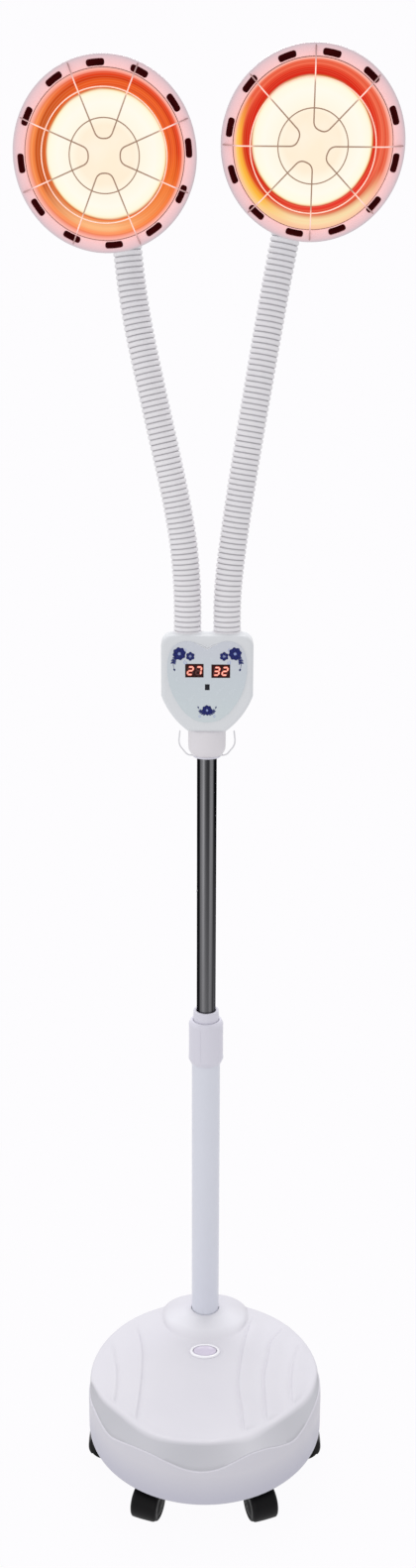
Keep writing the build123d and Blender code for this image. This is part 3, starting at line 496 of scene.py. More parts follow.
def ring_material(side):
    """Rim of the head: white plastic with the pink light of the lamp behind it painted into its colour and as a glow,
    cooler at its outer edge; painted shade in its crevices.
    """
    m = Mat("ring_white_" + side, local=True, spec=0.35)
    r = m.radius_mm()
    x, y, z = m.xyz()
    f = m.math("DIVIDE", r, 100.0)
    # painted light: pink from the lamp, cooler towards the outer edge
    col = m.ramp(f, [(0.780, srgb(252, 208, 204)), (0.80, srgb(249, 206, 206)), (0.835, srgb(246, 206, 208)), (0.865, srgb(238, 204, 208)),
                     (0.885, srgb(225, 204, 209)), (0.9005, srgb(215, 206, 211))])
    col = m.mix(m.range(m.noise(60, 3.0), 0.0, 0.3, 0.35, 0.75), col, srgb(238, 204, 207))
    # the wall behind the rim stays white
    col = m.mix(m.range(z, 0.0, 1.0, -0.0025, -0.009), col, srgb(218, 217, 221))
    # painted shade in the crevices round the vents
    ao = m.node("ShaderNodeAmbientOcclusion", samples=8)
    ao.inputs["Distance"].default_value = 0.002
    col = m.mix(m.range(ao.outputs["AO"], 0.0, 0.35, 0.5, 0.1), col, srgb(150, 96, 96))
    m.set("color", col)
    m.set("rough", 0.4)
    # painted glow of the lamp's pink light on the rim
    m.set("emit", m.ramp(f, [(0.780, srgb(120, 72, 66)), (0.82, srgb(92, 62, 62)), (0.87, srgb(64, 44, 46)), (0.899, srgb(10, 8, 8))]))
    m.set("power", 1.3)
    m.bump(m.noise(900, 2.0, 0.6), 0.04, 0.00005)
    return m.m


def dish_material(side):
    """Inside of the reflector: stepped bright metal; the lamp's red, amber and yellow that it throws back are painted
    in as a glow, changing with radius and with direction round the dish.
    """
    m = Mat("reflector_glow_" + side, local=True, rough=0.4, spec=0.06)
    r = m.radius_mm()
    x, y, z = m.xyz()
    ang = m.math("ARCTAN2", y, x)
    f = m.math("DIVIDE", r, 100.0)

    def toward(deg, lo, hi):
        """1 in the direction deg, 0 away from it; lo and hi are cosines."""
        c = m.math("COSINE", m.math("SUBTRACT", ang, math.radians(deg)))
        return m.range(c, 0.0, 1.0, lo, hi)

    # painted reflection of the lamp: colours by radius and by direction round the dish
    if side == "left":
        red = m.ramp(f, [(0.20, srgb(150, 34, 10)), (0.58, srgb(206, 66, 24)), (0.645, srgb(230, 88, 36)), (0.68, srgb(238, 96, 34)),
                         (0.700, srgb(206, 58, 10)), (0.725, srgb(222, 58, 24)), (0.743, srgb(232, 80, 46)), (0.763, srgb(249, 132, 104)),
                         (0.775, srgb(253, 164, 140))])
        amber = m.ramp(f, [(0.20, srgb(150, 50, 12)), (0.62, srgb(196, 86, 28)), (0.69, srgb(206, 94, 40)), (0.706, srgb(198, 84, 28)),
                           (0.72, srgb(240, 128, 62)), (0.737, srgb(250, 150, 88)), (0.755, srgb(238, 120, 70)), (0.775, srgb(253, 164, 138))])
        peach = m.ramp(f, [(0.20, srgb(170, 66, 20)), (0.62, srgb(226, 136, 78)), (0.683, srgb(252, 188, 132)), (0.708, srgb(255, 190, 132)),
                           (0.733, srgb(252, 148, 96)), (0.755, srgb(240, 116, 84)), (0.775, srgb(246, 150, 132))])
        col = m.mix(toward(192, 0.1, 0.8), red, amber)
        col = m.mix(toward(272, 0.35, 0.95), col, peach)
        col = m.mix(m.math("MULTIPLY", toward(318, 0.72, 0.98), 0.6), col, srgb(246, 128, 44))
        pink_flush_painted = m.range(r, 0.0, 0.9, 74.2, 76.9)
    else:
        red = m.ramp(f, [(0.20, srgb(140, 20, 10)), (0.56, srgb(206, 28, 14)), (0.64, srgb(222, 44, 24)), (0.675, srgb(228, 66, 40)),
                         (0.700, srgb(244, 112, 82)), (0.722, srgb(226, 84, 56)), (0.745, srgb(240, 108, 78)), (0.765, srgb(252, 158, 130)),
                         (0.775, srgb(254, 178, 150))])
        shift = m.math("MULTIPLY", m.math("COSINE", m.math("SUBTRACT", ang, math.radians(205))), 0.016)
        g = m.math("ADD", f, shift)
        yellow = m.ramp(g, [(0.20, srgb(150, 26, 10)), (0.62, srgb(228, 50, 38)), (0.685, srgb(206, 36, 8)), (0.708, srgb(224, 84, 34)),
                            (0.722, srgb(250, 168, 56)), (0.742, srgb(253, 190, 66)), (0.765, srgb(254, 210, 112)), (0.79, srgb(252, 214, 156))])
        cream = m.ramp(g, [(0.20, srgb(150, 26, 10)), (0.66, srgb(236, 56, 46)), (0.700, srgb(224, 90, 60)), (0.716, srgb(236, 178, 134)),
                           (0.733, srgb(251, 226, 176)), (0.755, srgb(254, 226, 176)), (0.775, srgb(252, 204, 160))])
        col = m.mix(toward(218, 0.30, 0.72), red, yellow)
        col = m.mix(toward(284, 0.55, 0.90), col, cream)
        pink_flush_painted = m.math("MULTIPLY", m.range(r, 0.0, 0.9, 74.4, 77.0), m.math("SUBTRACT", 1.0, m.math("MULTIPLY", toward(262, 0.2, 0.85), 0.75)))
    # fine turned lines with painted highlights
    turned_line_highlights = m.math("SINE", m.math("MULTIPLY", r, 3.1))
    col = m.mix(m.range(turned_line_highlights, 0.0, 0.12, 0.2, 1.0), col, srgb(255, 206, 160))
    # painted pink light on the outer flange, like the rim
    col = m.mix(pink_flush_painted, col, srgb(254, 186, 174))
    # the dish's colour is all painted glow over a near-black base
    m.set("color", srgb(16, 5, 4))
    m.set("emit", col)
    m.set("power", 0.95)
    m.bump(m.noise(300, 2.0), 0.03, 0.0001)
    return m.m


def bulb_material(side):
    """Lit lamp: frosted face nearly white with heat, a dark line round it, flank deep red or amber."""
    m = Mat("bulb_glass_" + side, local=True, rough=0.3, spec=0.15)
    r = m.radius_mm()
    x, y, z = m.xyz()
    f = m.math("DIVIDE", r, 100.0)
    face = m.ramp(f, [(0.0, srgb(254, 238, 212)), (0.27, srgb(253, 237, 212)), (0.345, srgb(255, 246, 226)), (0.48, srgb(255, 250, 236)),
                      (0.56, srgb(255, 251, 228)), (0.582, srgb(255, 243, 208)), (0.594, srgb(240, 190, 130)), (0.602, srgb(176, 96, 48)),
                      (0.612, srgb(212, 70, 30))])
    face = m.mix(m.range(m.noise(38, 2.0), 0.0, 0.4, 0.4, 0.75), face, srgb(255, 246, 232))
    if side == "left":
        stops = [(0.0335, srgb(236, 160, 90)), (0.0350, srgb(210, 100, 42)), (0.040, srgb(238, 104, 44)), (0.060, srgb(230, 84, 30)), (0.110, srgb(190, 44, 14))]
    else:
        stops = [(0.0335, srgb(226, 130, 84)), (0.0350, srgb(204, 44, 26)), (0.040, srgb(196, 22, 14)), (0.060, srgb(216, 36, 18)), (0.110, srgb(180, 24, 12))]
    flank = m.ramp(m.math("MULTIPLY", z, -1.0), stops)
    m.set("color", srgb(24, 14, 10))
    m.set("emit", m.mix(m.range(z, 1.0, 0.0, -0.0350, -0.0335), face, flank))
    m.set("power", 1.0)
    m.bump(m.noise(700, 2.0), 0.04, 0.0001)
    return m.m


def guard_material(side):
    """Chromed wire: browner over the lamp's face, rosy over the bright ring where the ring's light is painted on, with
    a painted glow.
    """
    m = Mat("guard_wire_" + side, local=True, metal=0.5, rough=0.28)
    f = m.math("DIVIDE", m.radius_mm(), 100.0)
    # painted light: rosy where the wire passes over the bright ring, browner over the lamp's face
    col = m.ramp(f, [(0.0, srgb(158, 126, 104)), (0.45, srgb(176, 148, 126)), (0.56, srgb(204, 172, 150)), (0.60, srgb(255, 214, 198)),
                     (0.72, srgb(255, 220, 212)), (0.79, srgb(214, 170, 168)), (0.90, srgb(170, 138, 140))])
    m.set("color", m.mix(m.range(m.noise(160, 2.0), 0.0, 0.3, 0.4, 0.7), col, srgb(190, 156, 136)))
    # painted glow from the lamp on the wires
    m.set("emit", m.ramp(f, [(0.57, srgb(30, 20, 14)), (0.61, srgb(170, 120, 104)), (0.73, srgb(160, 120, 114)), (0.80, srgb(40, 28, 28))]))
    m.set("power", 0.8)
    return m.m


def shade_inside():
    """Painted shade in the gap behind the vents, with a painted dim red glow from the lamp."""
    m = Mat("shade_inside_dark", color=srgb(30, 8, 8), rough=0.7, spec=0.1)
    m.set("emit", m.ramp(m.noise(80, 2.0), [(0.3, srgb(40, 5, 6)), (0.7, srgb(54, 8, 9))]))
    m.set("power", 1.0)
    return m.m


M["wire"] = plastic("hook_wire", srgb(234, 233, 236), 0.3, mottle=0.03)
M["shade_in"] = shade_inside()
M["cap_brass"] = metal("bulb_cap", srgb(196, 190, 176), 0.3, (1, 1, 1), 0.2, 500)
for side in SIDES:
    M["ring_" + side] = ring_material(side)
    M["dish_" + side] = dish_material(side)
    M["bulb_" + side] = bulb_material(side)
    M["guard_" + side] = guard_material(side)


# ------------------------------------------------------------------ base cover
POLE = (0.0, 120.0)
EDGE0, TOP_Z = 122.0, 127.0
# radius of the crease where the flat top turns down, by angle: far in at the front, almost at the wall behind
CREASE = [(-180, 154.0), (-175, 153.0), (-170, 149.0), (-158.5, 141.6), (-150, 136.0), (-142, 132.8), (-132, 132.0), (-118, 132.2), (-107, 130.8), (-96, 129.2),
          (-85, 128.8), (-78, 127.2), (-68, 125.8), (-56, 126.0), (-46, 128.4), (-38, 130.6), (-29.5, 134.0), (-21, 139.4), (-14, 143.6), (-7, 147.4),
          (0, 151.0), (10, 154.0), (45, 155.0), (90, 155.0), (135, 155.0), (170, 155.0)]
BOSS, BOSS_H = 60.5, 14.4
WAVE = [(-180, 104), (-168, 108.5), (-157, 110.2), (-149, 106.4), (-142, 104.6), (-135.5, 108.2), (-128, 112.2), (-117, 113.4), (-107, 108.8), (-98, 103.2),
        (-90.5, 101.9), (-84, 104.4), (-76, 111.4), (-68, 116.6), (-60, 116.4), (-50, 110.2), (-42, 106.0), (-35, 109.0), (-24, 115.6), (-10, 117.6), (4, 113.6),
        (20, 106.5), (34, 105), (48, 110), (62, 116), (76, 112), (90, 105), (104, 112), (118, 117), (132, 112), (146, 105.5), (160, 101)]
RIBS = [
    ((-128.2, 60.4), (-118.9, 6.8), (-117.0, -38.0), (-119.4, -68.8)),
    ((-95.2, 95.4), (-86.4, 46.7), (-84.7, 6.8), (-85.8, -44.2), (-88.9, -98)),
    ((66.5, 113.3), (56.2, 67.3), (48.2, 13.3), (45.2, -25.4), (48.4, -68.8), (51.6, -115)),
    ((109.5, 92.5), (95.6, 70.8), (85.9, 26.6), (80.1, -9.4), (79.8, -44.2), (81.0, -100)),
    ((130.9, 60.3), (125.4, 43.3), (117.0, -6.2), (114.8, -70.7)),
]


def spline1(xs, ys, q, periodic=None):
    """Cubic through points (Catmull-Rom), optionally periodic."""
    xs, ys, q = np.asarray(xs, float), np.asarray(ys, float), np.asarray(q, float)
    if periodic:
        xs = np.concatenate([xs[-2:] - periodic, xs, xs[:2] + periodic])
        ys = np.concatenate([ys[-2:], ys, ys[:2]])
        q = (q - xs[2]) % periodic + xs[2]
    m = np.gradient(ys, xs)
    i = np.clip(np.searchsorted(xs, q) - 1, 0, len(xs) - 2)
    h = xs[i + 1] - xs[i]
    t = np.clip((q - xs[i]) / h, 0, 1)
    return ((2 * t**3 - 3 * t**2 + 1) * ys[i] + (t**3 - 2 * t**2 + t) * h * m[i]
            + (-2 * t**3 + 3 * t**2) * ys[i + 1] + (t**3 - t**2) * h * m[i + 1])


def boss_height(x, y):
    """Dome round the upright: steep at its sides, soft towards the front."""
    dx, dy = x - POLE[0], y - POLE[1]
    k = np.clip(np.hypot(dx, dy) / BOSS, 0, 1)
    ang = np.degrees(np.arctan2(np.abs(dx), -dy))           # 0 = straight to the front
    soft = 1 - smooth((ang - 42) / 34)
    back = smooth((ang - 80) / 50)
    side = (1 - k ** (2.6 + 1.0 * back)) ** (0.75 - 0.15 * back)
    t = np.clip((k - 0.33) / 0.67, 0, 1)
    front = 1 - 0.62 * t - 0.38 * smooth(t)
    return BOSS_H * (side * (1 - soft) + front * soft)


def crease(x, y):
    return spline1([a for a, _ in CREASE], [b for _, b in CREASE], np.degrees(np.arctan2(y, x)), 360)


def rib_x(k, y):
    pts = np.array(RIBS[k])[::-1]
    return spline1(pts[:, 1], pts[:, 0], y)


def top_height(x, y):
    x, y = np.asarray(x, float), np.asarray(y, float)
    z = np.full(x.shape, TOP_Z) - 1.2 * np.minimum(np.hypot(x, y) / EDGE0, 1) ** 4
    r = np.hypot(x, y)
    edge = crease(x, y)
    for k, rib in enumerate(RIBS):
        ys = np.array(rib)[:, 1]
        s = x - rib_x(k, np.clip(y, ys.min(), ys.max()))
        if k < 2:
            s = -s
        fade = smooth((ys.max() + 14 - y) / 34) * smooth((edge - 2.5 - r) / 7)
        rise = smooth((s + 1.5) / 3.0)
        fall = 1 - smooth(s / 26)
        lift = 1.9 if k < 2 else 2.4
        z = z + lift * rise * fall * fade
        z = z - (0.5 if k < 2 else 0.9) * np.exp(-((s + 2.2) / 1.3) ** 2) * fade
    h = boss_height(x, y)
    z = np.maximum(z, TOP_Z - 1.6) * (1 - smooth(h / 3)) + TOP_Z * smooth(h / 3) + h
    # slight lip round the upright and shallow dish round the switch
    d = np.hypot(x, y - POLE[1])
    z = z + 0.25 * np.exp(-((d - 23.0) / 1.6) ** 2) - 0.35 * smooth((21.6 - d) / 1.6)
    e = np.sqrt((x / 24.5) ** 2 + ((y - 43) / 18.0) ** 2)
    z = z - 0.7 * (1 - smooth((e - 0.86) / 0.2))
    # the top climbs a little towards the back
    return z + 2.6 * smooth((y - 40) / 95)


def base_cover():
    N = 480
    th = np.arange(N) * 2 * math.pi / N - math.pi
    circle = np.stack([EDGE0 * np.cos(th), EDGE0 * np.sin(th)], 1)
    pts = [circle]
    hole = np.arange(64) * 2 * math.pi / 64
    pole = np.stack([19.7 * np.cos(hole), 120 + 19.7 * np.sin(hole)], 1)
    sw = np.stack([19.6 * np.cos(hole), 43 + 13.2 * np.sin(hole)], 1)
    pts += [pole, sw]
    extra = []
    for rr in (20.4, 21.2, 22.1, 23.2, 24.4, 25.8, 27.4):
        extra.append(np.stack([rr * np.cos(hole), 120 + rr * np.sin(hole)], 1))
    for k in (1.06, 1.12, 1.18, 1.24, 1.30, 1.38):
        extra.append(np.stack([19.6 * k * np.cos(hole), 43 + (13.2 * k + 1.2 * (k - 1)) * np.sin(hole)], 1))
    for k, rib in enumerate(RIBS):
        ys = np.array(rib)[:, 1]
        yy = np.arange(ys.min() - 2, ys.max() + 4, 3.0)
        for s in (-4.5, -3.2, -2.2, -1.4, -0.7, 0.0, 0.7, 1.4, 2.2, 4.5, 8.5, 13.5):
            sx = -s if k < 2 else s
            extra.append(np.stack([rib_x(k, np.clip(yy, ys.min(), ys.max())) + sx, yy], 1))
    ring = np.arange(132) * 2 * math.pi / 132
    for d in (-30, -25, -20, -16, -12, -9, -6.5, -4.6, -3.2, -2.1, -1.2, -0.5, 0.2, 1.4, 3.0, 6, 10):
        extra.append(np.stack([(BOSS + d) * np.cos(ring), 120 + (BOSS + d) * np.sin(ring)], 1))
    gx, gy = np.meshgrid(np.arange(-138, 139, 4.2), np.arange(-138, 139, 4.2))
    gx = gx + (np.arange(gx.shape[0]) % 2)[:, None] * 2.1
    fill = np.stack([gx.ravel(), gy.ravel()], 1)
    rows = [np.stack([r * np.cos(th[::2]), r * np.sin(th[::2])], 1) for r in (120.4, 118.2)]
    kept = [p for a in pts for p in a.tolist()]
    cell = {}

    def near(p, d):
        cx, cy = int(p[0] // 3), int(p[1] // 3)
        for i in (-1, 0, 1):
            for j in (-1, 0, 1):
                for q in cell.get((cx + i, cy + j), ()):
                    if (q[0] - p[0]) ** 2 + (q[1] - p[1]) ** 2 < d * d:
                        return True
        return False

    def put(p):
        cell.setdefault((int(p[0] // 3), int(p[1] // 3)), []).append(p)

    for p in kept:
        put(p)

    def inside(p, gap):
        if math.hypot(p[0], p[1]) > EDGE0 - gap:
            return False
        if math.hypot(p[0], p[1] - 120) < 19.7 + gap * 0.5:
            return False
        return (p[0] / 19.6) ** 2 + ((p[1] - 43) / 13.2) ** 2 > 1.04

    for group, d, gap in ((rows, 0.9, 1.2), (extra, 0.62, 1.2), ([fill], 2.5, 2.4)):
        for a in group:
            for p in a.tolist():
                if inside(p, gap) and not near(p, d):
                    put(p)
                    kept.append(p)
    loops = []
    start = 0
    for a in pts:
        n = len(a)
        loops += [(start + i, start + (i + 1) % n) for i in range(n)]
        start += n
    v2, e2, f2, ov, oe, of_ = delaunay_2d_cdt([Vector(p) for p in kept], loops, [], 0, 1e-5)
    v2 = np.array([[p.x, p.y] for p in v2])
    tri = []
    for f in f2:
        c = v2[f].mean(0)
        if math.hypot(*c) > EDGE0 or math.hypot(c[0], c[1] - 120) < 19.6 or (c[0] / 19.6) ** 2 + ((c[1] - 43) / 13.2) ** 2 < 0.985:
            continue
        a, b, d = v2[f[0]], v2[f[1]], v2[f[2]]
        if (b[0] - a[0]) * (d[1] - a[1]) - (b[1] - a[1]) * (d[0] - a[0]) < 0:
            f = f[::-1]
        tri.append(list(f))
    z = top_height(v2[:, 0], v2[:, 1])
    shell = Shell()
    shell.add(np.column_stack([v2, z]), tri)
    # walls of the two holes
    for a, depth in ((pole, 9), (sw, 6)):
        zt = top_height(a[:, 0], a[:, 1])
        rows3 = [np.column_stack([a, zt - k]) for k in (0, 0.6, depth)]
        shell.grid(np.array(rows3), flip=False)

    # rounded edge, ledge and skirt
    zw = spline1([a for a, _ in WAVE], [b for _, b in WAVE], np.degrees(th), 360)
    deg = np.degrees(th)

    ahead = np.abs(np.mod(deg + 90 + 180, 360) - 180)              # 0 = straight to the front
    lean = 1.6 + 2.6 * (1 - smooth((ahead - 40) / 40))

    def r_low(zz):
        r = 155.9 - lean * np.clip((zz - 96) / 23, 0, 2) ** 2
        swell = np.exp(-((np.mod(deg + 90 + 180, 360) - 180) / 26) ** 2)
        r = r - 0.9 * swell * np.exp(-((zz - 87 - 1.5 * np.cos(np.radians(deg + 90) * 3)) / 4.2) ** 2)
        return r

    rows = []
    cosn, sinn = np.cos(th), np.sin(th)
    zend = zw + 1.4
    rend = r_low(zw - 1.5) - 1.6
    E = np.minimum(spline1([a for a, _ in CREASE], [b for _, b in CREASE], deg, 360), rend - 0.7)
    flat_n, turn_n, line_n = 8, 7, 6
    n_up = flat_n + turn_n + line_n
    c = np.full(N, 3.4)
    za = top_height((E - c) * cosn, (E - c) * sinn)
    far = np.hypot(rend - E, za - zend)
    c2 = np.minimum(c, far * 0.6)
    p2r, p2z = E + (rend - E) / far * c2, za - (za - zend) / far * c2
    path = np.array([(122, 0), (131, 0), (141, 0), (145, -0.05), (148.4, -0.2), (150.8, -0.8), (152.4, -2.0), (153.3, -4.0), (153.6, -7), (153.7, -12),
                     (153.7, -18), (153.6, -24), (153.4, -30)])
    b = smooth(boss_height(149 * cosn, 149 * sinn) / 3.5) * (sinn > 0)
    for i in range(n_up):
        if i < flat_n:
            rr = EDGE0 + (E - c - EDGE0) * i / flat_n
            zz = top_height(rr * cosn, rr * sinn)
        elif i < flat_n + turn_n:
            t = (i - flat_n) / (turn_n - 1)
            rr = (1 - t) ** 2 * (E - c) + 2 * t * (1 - t) * E + t * t * p2r
            zz = (1 - t) ** 2 * za + 2 * t * (1 - t) * za + t * t * p2z
        else:
            t = (i - flat_n - turn_n + 1) / line_n
            rr, zz = p2r + (rend - p2r) * t, p2z + (zend - p2z) * t
        # over the boss: flat to near the rim, round corner, wall
        q = i / (n_up - 1) * 12
        rb = np.interp(q, range(13), path[:, 0])
        zb = top_height(rb * cosn, rb * sinn) + np.interp(q, range(13), path[:, 1])
        zb = np.maximum(zb, zend + (n_up - 1 - i) * 0.2)
        rb = np.full(N, rb)
        if i == n_up - 1:
            zb, rb = zend, rend
        rows.append((rr * (1 - b) + rb * b, zz * (1 - b) + zb * b, b))
    bl = rows[-1][2]
    ru = rows[-1][0]
    rl = np.maximum(r_low(zw - 1.5), ru + 1.4)
    for fr, dz in ((0.05, 0.75), (0.2, 0.28), (0.5, 0.08), (0.78, -0.1), (0.93, -0.45), (1.0, -1.3)):
        rows.append((ru + (rl - ru) * fr, zw + dz, bl))
    z0 = zw - 1.3
    for t in (0.05, 0.12, 0.2, 0.28, 0.36, 0.44, 0.52, 0.6, 0.68, 0.76, 0.84, 0.91, 0.96):
        zz = z0 + (54.0 - z0) * t
        rows.append((np.maximum(r_low(zz), 0) * (1 - smooth(t / 0.3) * 0) + (rl - r_low(z0)) * (1 - smooth(t / 0.25)), zz, bl))
    rows.append((np.full(N, 155.7), np.full(N, 53.2), bl))
    rows.append((np.full(N, 155.0), np.full(N, 52.2), bl))
    rows.append((np.full(N, 154.2), np.full(N, 52.0), bl))
    rows.append((np.full(N, 153.2), np.full(N, 52.0), bl))
    rows.append((np.full(N, 153.0), np.full(N, 54.0), bl))
    rows.append((np.full(N, 152.8), np.full(N, 62.0), bl))
    grid = np.array([np.stack([r * np.cos(th), r * np.sin(th), z], 1) for r, z, _ in rows])
    shell.grid(grid, flip=True)
    # nothing of it inside the upright
    allv = np.concatenate(shell.v)
    stay = []
    for f in shell.f:
        cx, cy, cz = allv[f].mean(0)
        stay.append(not (math.hypot(cx, cy - 120) < 17.6 and cz > 100))
    shell.f = [f for f, k in zip(shell.f, stay) if k]
    shell.m = [f for f, k in zip(shell.m, stay) if k]
    o = shell.object("cover_shell", M["cover"], sharp=50, merge=0.01)
    # where the wall below the wavy ledge begins; above it the cover's colour is the band's painted shade
    co = np.array([v.co[:] for v in o.data.vertices]) * 1000
    at = spline1([a for a, _ in WAVE], [b for _, b in WAVE], np.degrees(np.arctan2(co[:, 1], co[:, 0])), 360)
    below = smooth((at + 1.25 - co[:, 2]) / 0.8) * (np.hypot(co[:, 0], co[:, 1]) > 140)
    o.data.attributes.new("below", "FLOAT", "POINT").data.foreach_set("value", below.astype(np.float32))
    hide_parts("base_cover")
    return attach(o, "base")


base_cover()


# ------------------------------------------------------------------ foot switch
def switch():
    n = 72
    a = np.arange(n) * 2 * math.pi / n
    prof = [(-0.6, -8), (-0.55, 0.6), (-0.3, 1.3), (0.2, 1.85), (0.9, 2.15), (1.7, 2.15), (2.5, 1.8), (3.2, 1.1), (3.6, 0.3), (3.7, -0.3), (3.7, -0.9),
            (1.0, -1.2), (0.5, -8)]
    rows = [np.stack([(16.75 + 2 + d - 1.7) * np.cos(a), 43 + (10.75 + 2 + d - 1.7) * np.sin(a), np.full(n, 127 + z)], 1) for d, z in prof]
    s = Shell().grid(np.array(rows), close=True, flip=True)
    o = s.object("switch_bezel", M["bezel"], sharp=45)
    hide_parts("switch_housing")
    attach(o, "base")
    prof = [(1.0, 108.7), (1.0, 126.6), (0.99, 127.6), (0.965, 128.35), (0.93, 128.85), (0.88, 129.05), (0.82, 128.95), (0.72, 128.5), (0.55, 127.95),
            (0.35, 127.6), (0.15, 127.45)]
    rows = [np.stack([16.1 * k * np.cos(a), 43 + 10.1 * k * np.sin(a), np.full(n, z)], 1) for k, z in prof]
    s = Shell().grid(np.array(rows), cap0=True, cap1=True)
    o = s.object("switch_cap_dished", M["button"], sharp=45)
    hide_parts("switch_button")
    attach(o, "switch_cap")


switch()

# ------------------------------------------------------------------ casters
CASTERS = (("right", 0.0, 0.0), ("rear_right", 57.0, 75.0), ("rear_left", 123.0, 105.0), ("left", 180.0, 180.0),
           ("front_left", 236.0, 250.0), ("front_right", 304.0, 290.0))
AX, AZ = 17.0, 19.0


def caster_hood(name, mat):
    nu, ends = 30, (-30.0, 168.0)
    us = np.radians(np.linspace(*ends, nu))
    rows = []
    for i, a in enumerate(us):
        k = i / (nu - 1)
        end = min(k, 1 - k)
        cheek = 3.4 + 7.2 * smooth(end / 0.4)
        R, W, c = 21.4, 17.7, 4.6
        sec = [(R - c - cheek, W - 0.5), (R - c - cheek * 0.5, W - 0.1), (R - c, W)]
        for j in range(1, 6):
            t = math.radians(18 * j)
            sec.append((R - c + c * math.sin(t), W - c + c * math.cos(t)))
        sec += [(R + 0.15, W - c - 3.5), (R + 0.3, W - c - 8), (R + 0.35, 0)]
        full = sec + [(r, -y) for r, y in sec[::-1][1:]]
        rows.append([(AX + r * math.cos(a), y, AZ + r * math.sin(a)) for r, y in full])
    s = Shell().grid(np.array(rows), wrap=False, flip=False)
    o = s.object("caster_hood_" + name, M["black"], sharp=60, matrix=mat)
    so = o.modifiers.new("wall", "SOLIDIFY")
    so.thickness = 1.3 * MM
    so.offset = -1 if True else 1
    bv = o.modifiers.new("edge", "BEVEL")
    bv.width = 0.35 * MM
    bv.segments = 2
    bv.limit_method = "ANGLE"
    bv.angle_limit = math.radians(60)
    # web between the wheels and boss for the pin
    w = Shell()
    arc = [(AX + 17.6 * math.cos(t), AZ + 17.6 * math.sin(t)) for t in np.radians(np.linspace(-34, 206, 30))]
    n = len(arc)
    for y, fl in ((6.6, 0),):
        rows = [[(x, yy, z) for x, z in arc] for yy in (-6.6, -7.2, -7.2, 7.2, 7.2, 6.6)]
        rows[0] = [(AX + (x - AX) * 0.95, -7.3, AZ + (z - AZ) * 0.95) for x, z in arc]
        rows[1] = [(x, -6.8, z) for x, z in arc]
        rows[2] = [(x, 6.8, z) for x, z in arc]
        rows[3] = [(AX + (x - AX) * 0.95, 7.3, AZ + (z - AZ) * 0.95) for x, z in arc]
        w.grid(np.array(rows[:4]), cap0=True, cap1=True)
    w.lathe([(4.1, 24), (7.0, 24), (7.3, 25), (7.3, 44.5), (6.9, 46.5), (6.0, 47.2), (4.1, 47.2)], 40)
    b = w.object("caster_body_" + name, M["black"], sharp=40, matrix=mat)
    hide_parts("caster_fork_" + name)
    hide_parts("caster_fork_" + name)
    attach(o, "caster_" + name)
    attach(b, "caster_" + name)


def caster_wheels(name, mat):
    s = Shell()
    spin = mat @ Matrix.Translation((AX * MM, 0, AZ * MM)) @ Matrix.Rotation(math.radians(90), 4, "X")
    for sg in (1, -1):
        prof = [(3.0, 8.2), (12.5, 8.0), (17.0, 8.1), (18.4, 8.5), (18.95, 9.3), (19.0, 10.6), (19.0, 14.6), (18.85, 15.8), (18.2, 16.7), (17.0, 17.0),
                (15.2, 16.9), (14.4, 16.2), (13.6, 16.0), (12.8, 16.3), (12.0, 17.0), (9.0, 18.1), (6.0, 18.7), (3.2, 18.95), (3.0, 18.95)]
        s.lathe([(r, sg * y) for r, y in prof], 64, close=True, mat=0, flip=sg > 0)
    s.lathe([(0.05, -18.8), (2.0, -18.8), (2.9, -18.2), (2.9, 18.2), (2.0, 18.8), (0.05, 18.8)], 24, close=False, mat=1)
    o = s.object("caster_tyres_" + name, [M["tyre"], M["axle"]], sharp=35, matrix=spin)
    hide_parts("caster_wheels_" + name)
    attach(o, "wheels_" + name)


for name, a, trail in CASTERS:
    at = Matrix.Translation((0.119 * math.cos(math.radians(a)), 0.119 * math.sin(math.radians(a)), 0)) @ Matrix.Rotation(math.radians(trail), 4, "Z")
    caster_hood(name, at)
    caster_wheels(name, at)


# ------------------------------------------------------------------ lock collar
def lock_collar():
    n = 360
    a = np.arange(n) * 2 * math.pi / n - math.pi / 2
    prof = [(19.35, 527.5), (20.2, 527.5), (20.5, 527.8), (20.9, 528.7), (21.4, 530.2), (22.0, 531.5), (22.8, 532.8), (23.25, 534.0), (23.45, 535.4), (23.5, 537.4),
            (23.5, 545), (23.5, 555), (23.5, 566), (23.5, 578), (23.45, 580.9), (23.2, 583.0), (22.8, 584.8), (22.2, 586.4), (21.3, 588.2), (20.5, 589.5),
            (19.9, 589.95), (18.6, 590.0), (17.7, 590.0), (17.4, 589.4), (17.4, 588.6), (19.35, 588.5)]
    # four broad faces sunk between four ribs
    off = np.mod(np.degrees(a) - 59 + 45, 90) - 45
    sunk = smooth((np.abs(off) - 11.2) / 2.2)
    crown = 0.25 * (1 - ((45 - np.abs(off)) / 33) ** 2).clip(0, 1)
    rows = []
    for r, z in prof:
        depth = float(smooth((z - 534.5) / 3.5) * smooth((584.0 - z) / 3.5))
        rr = r - (depth * (0.85 - crown) * sunk if r > 20 else 0)
        rows.append(np.stack([rr * np.cos(a), 120 + rr * np.sin(a), np.full(n, z)], 1))
    o = Shell().grid(np.array(rows), close=True).object("lock_ring_gripped", M["collar"], sharp=50)
    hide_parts("lock_collar")
    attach(o, "lock")
    # cone of the collet with its rolled lip
    prof = [(12.85, 518), (17.1, 518), (17.1, 586), (16.9, 589.0), (17.05, 591.2), (17.3, 592.8), (17.1, 597), (16.7, 600.6), (16.75, 601.6), (16.9, 602.4),
            (16.6, 603.4), (15.9, 603.9), (14.6, 604), (13.4, 603.8), (12.85, 603.2)]
    o = Shell().lathe(prof, 96, centre=POLE, flip=False).object("collet_cone", M["collar"], sharp=40)
    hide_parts("tube_collet")
    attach(o, "base")


lock_collar()


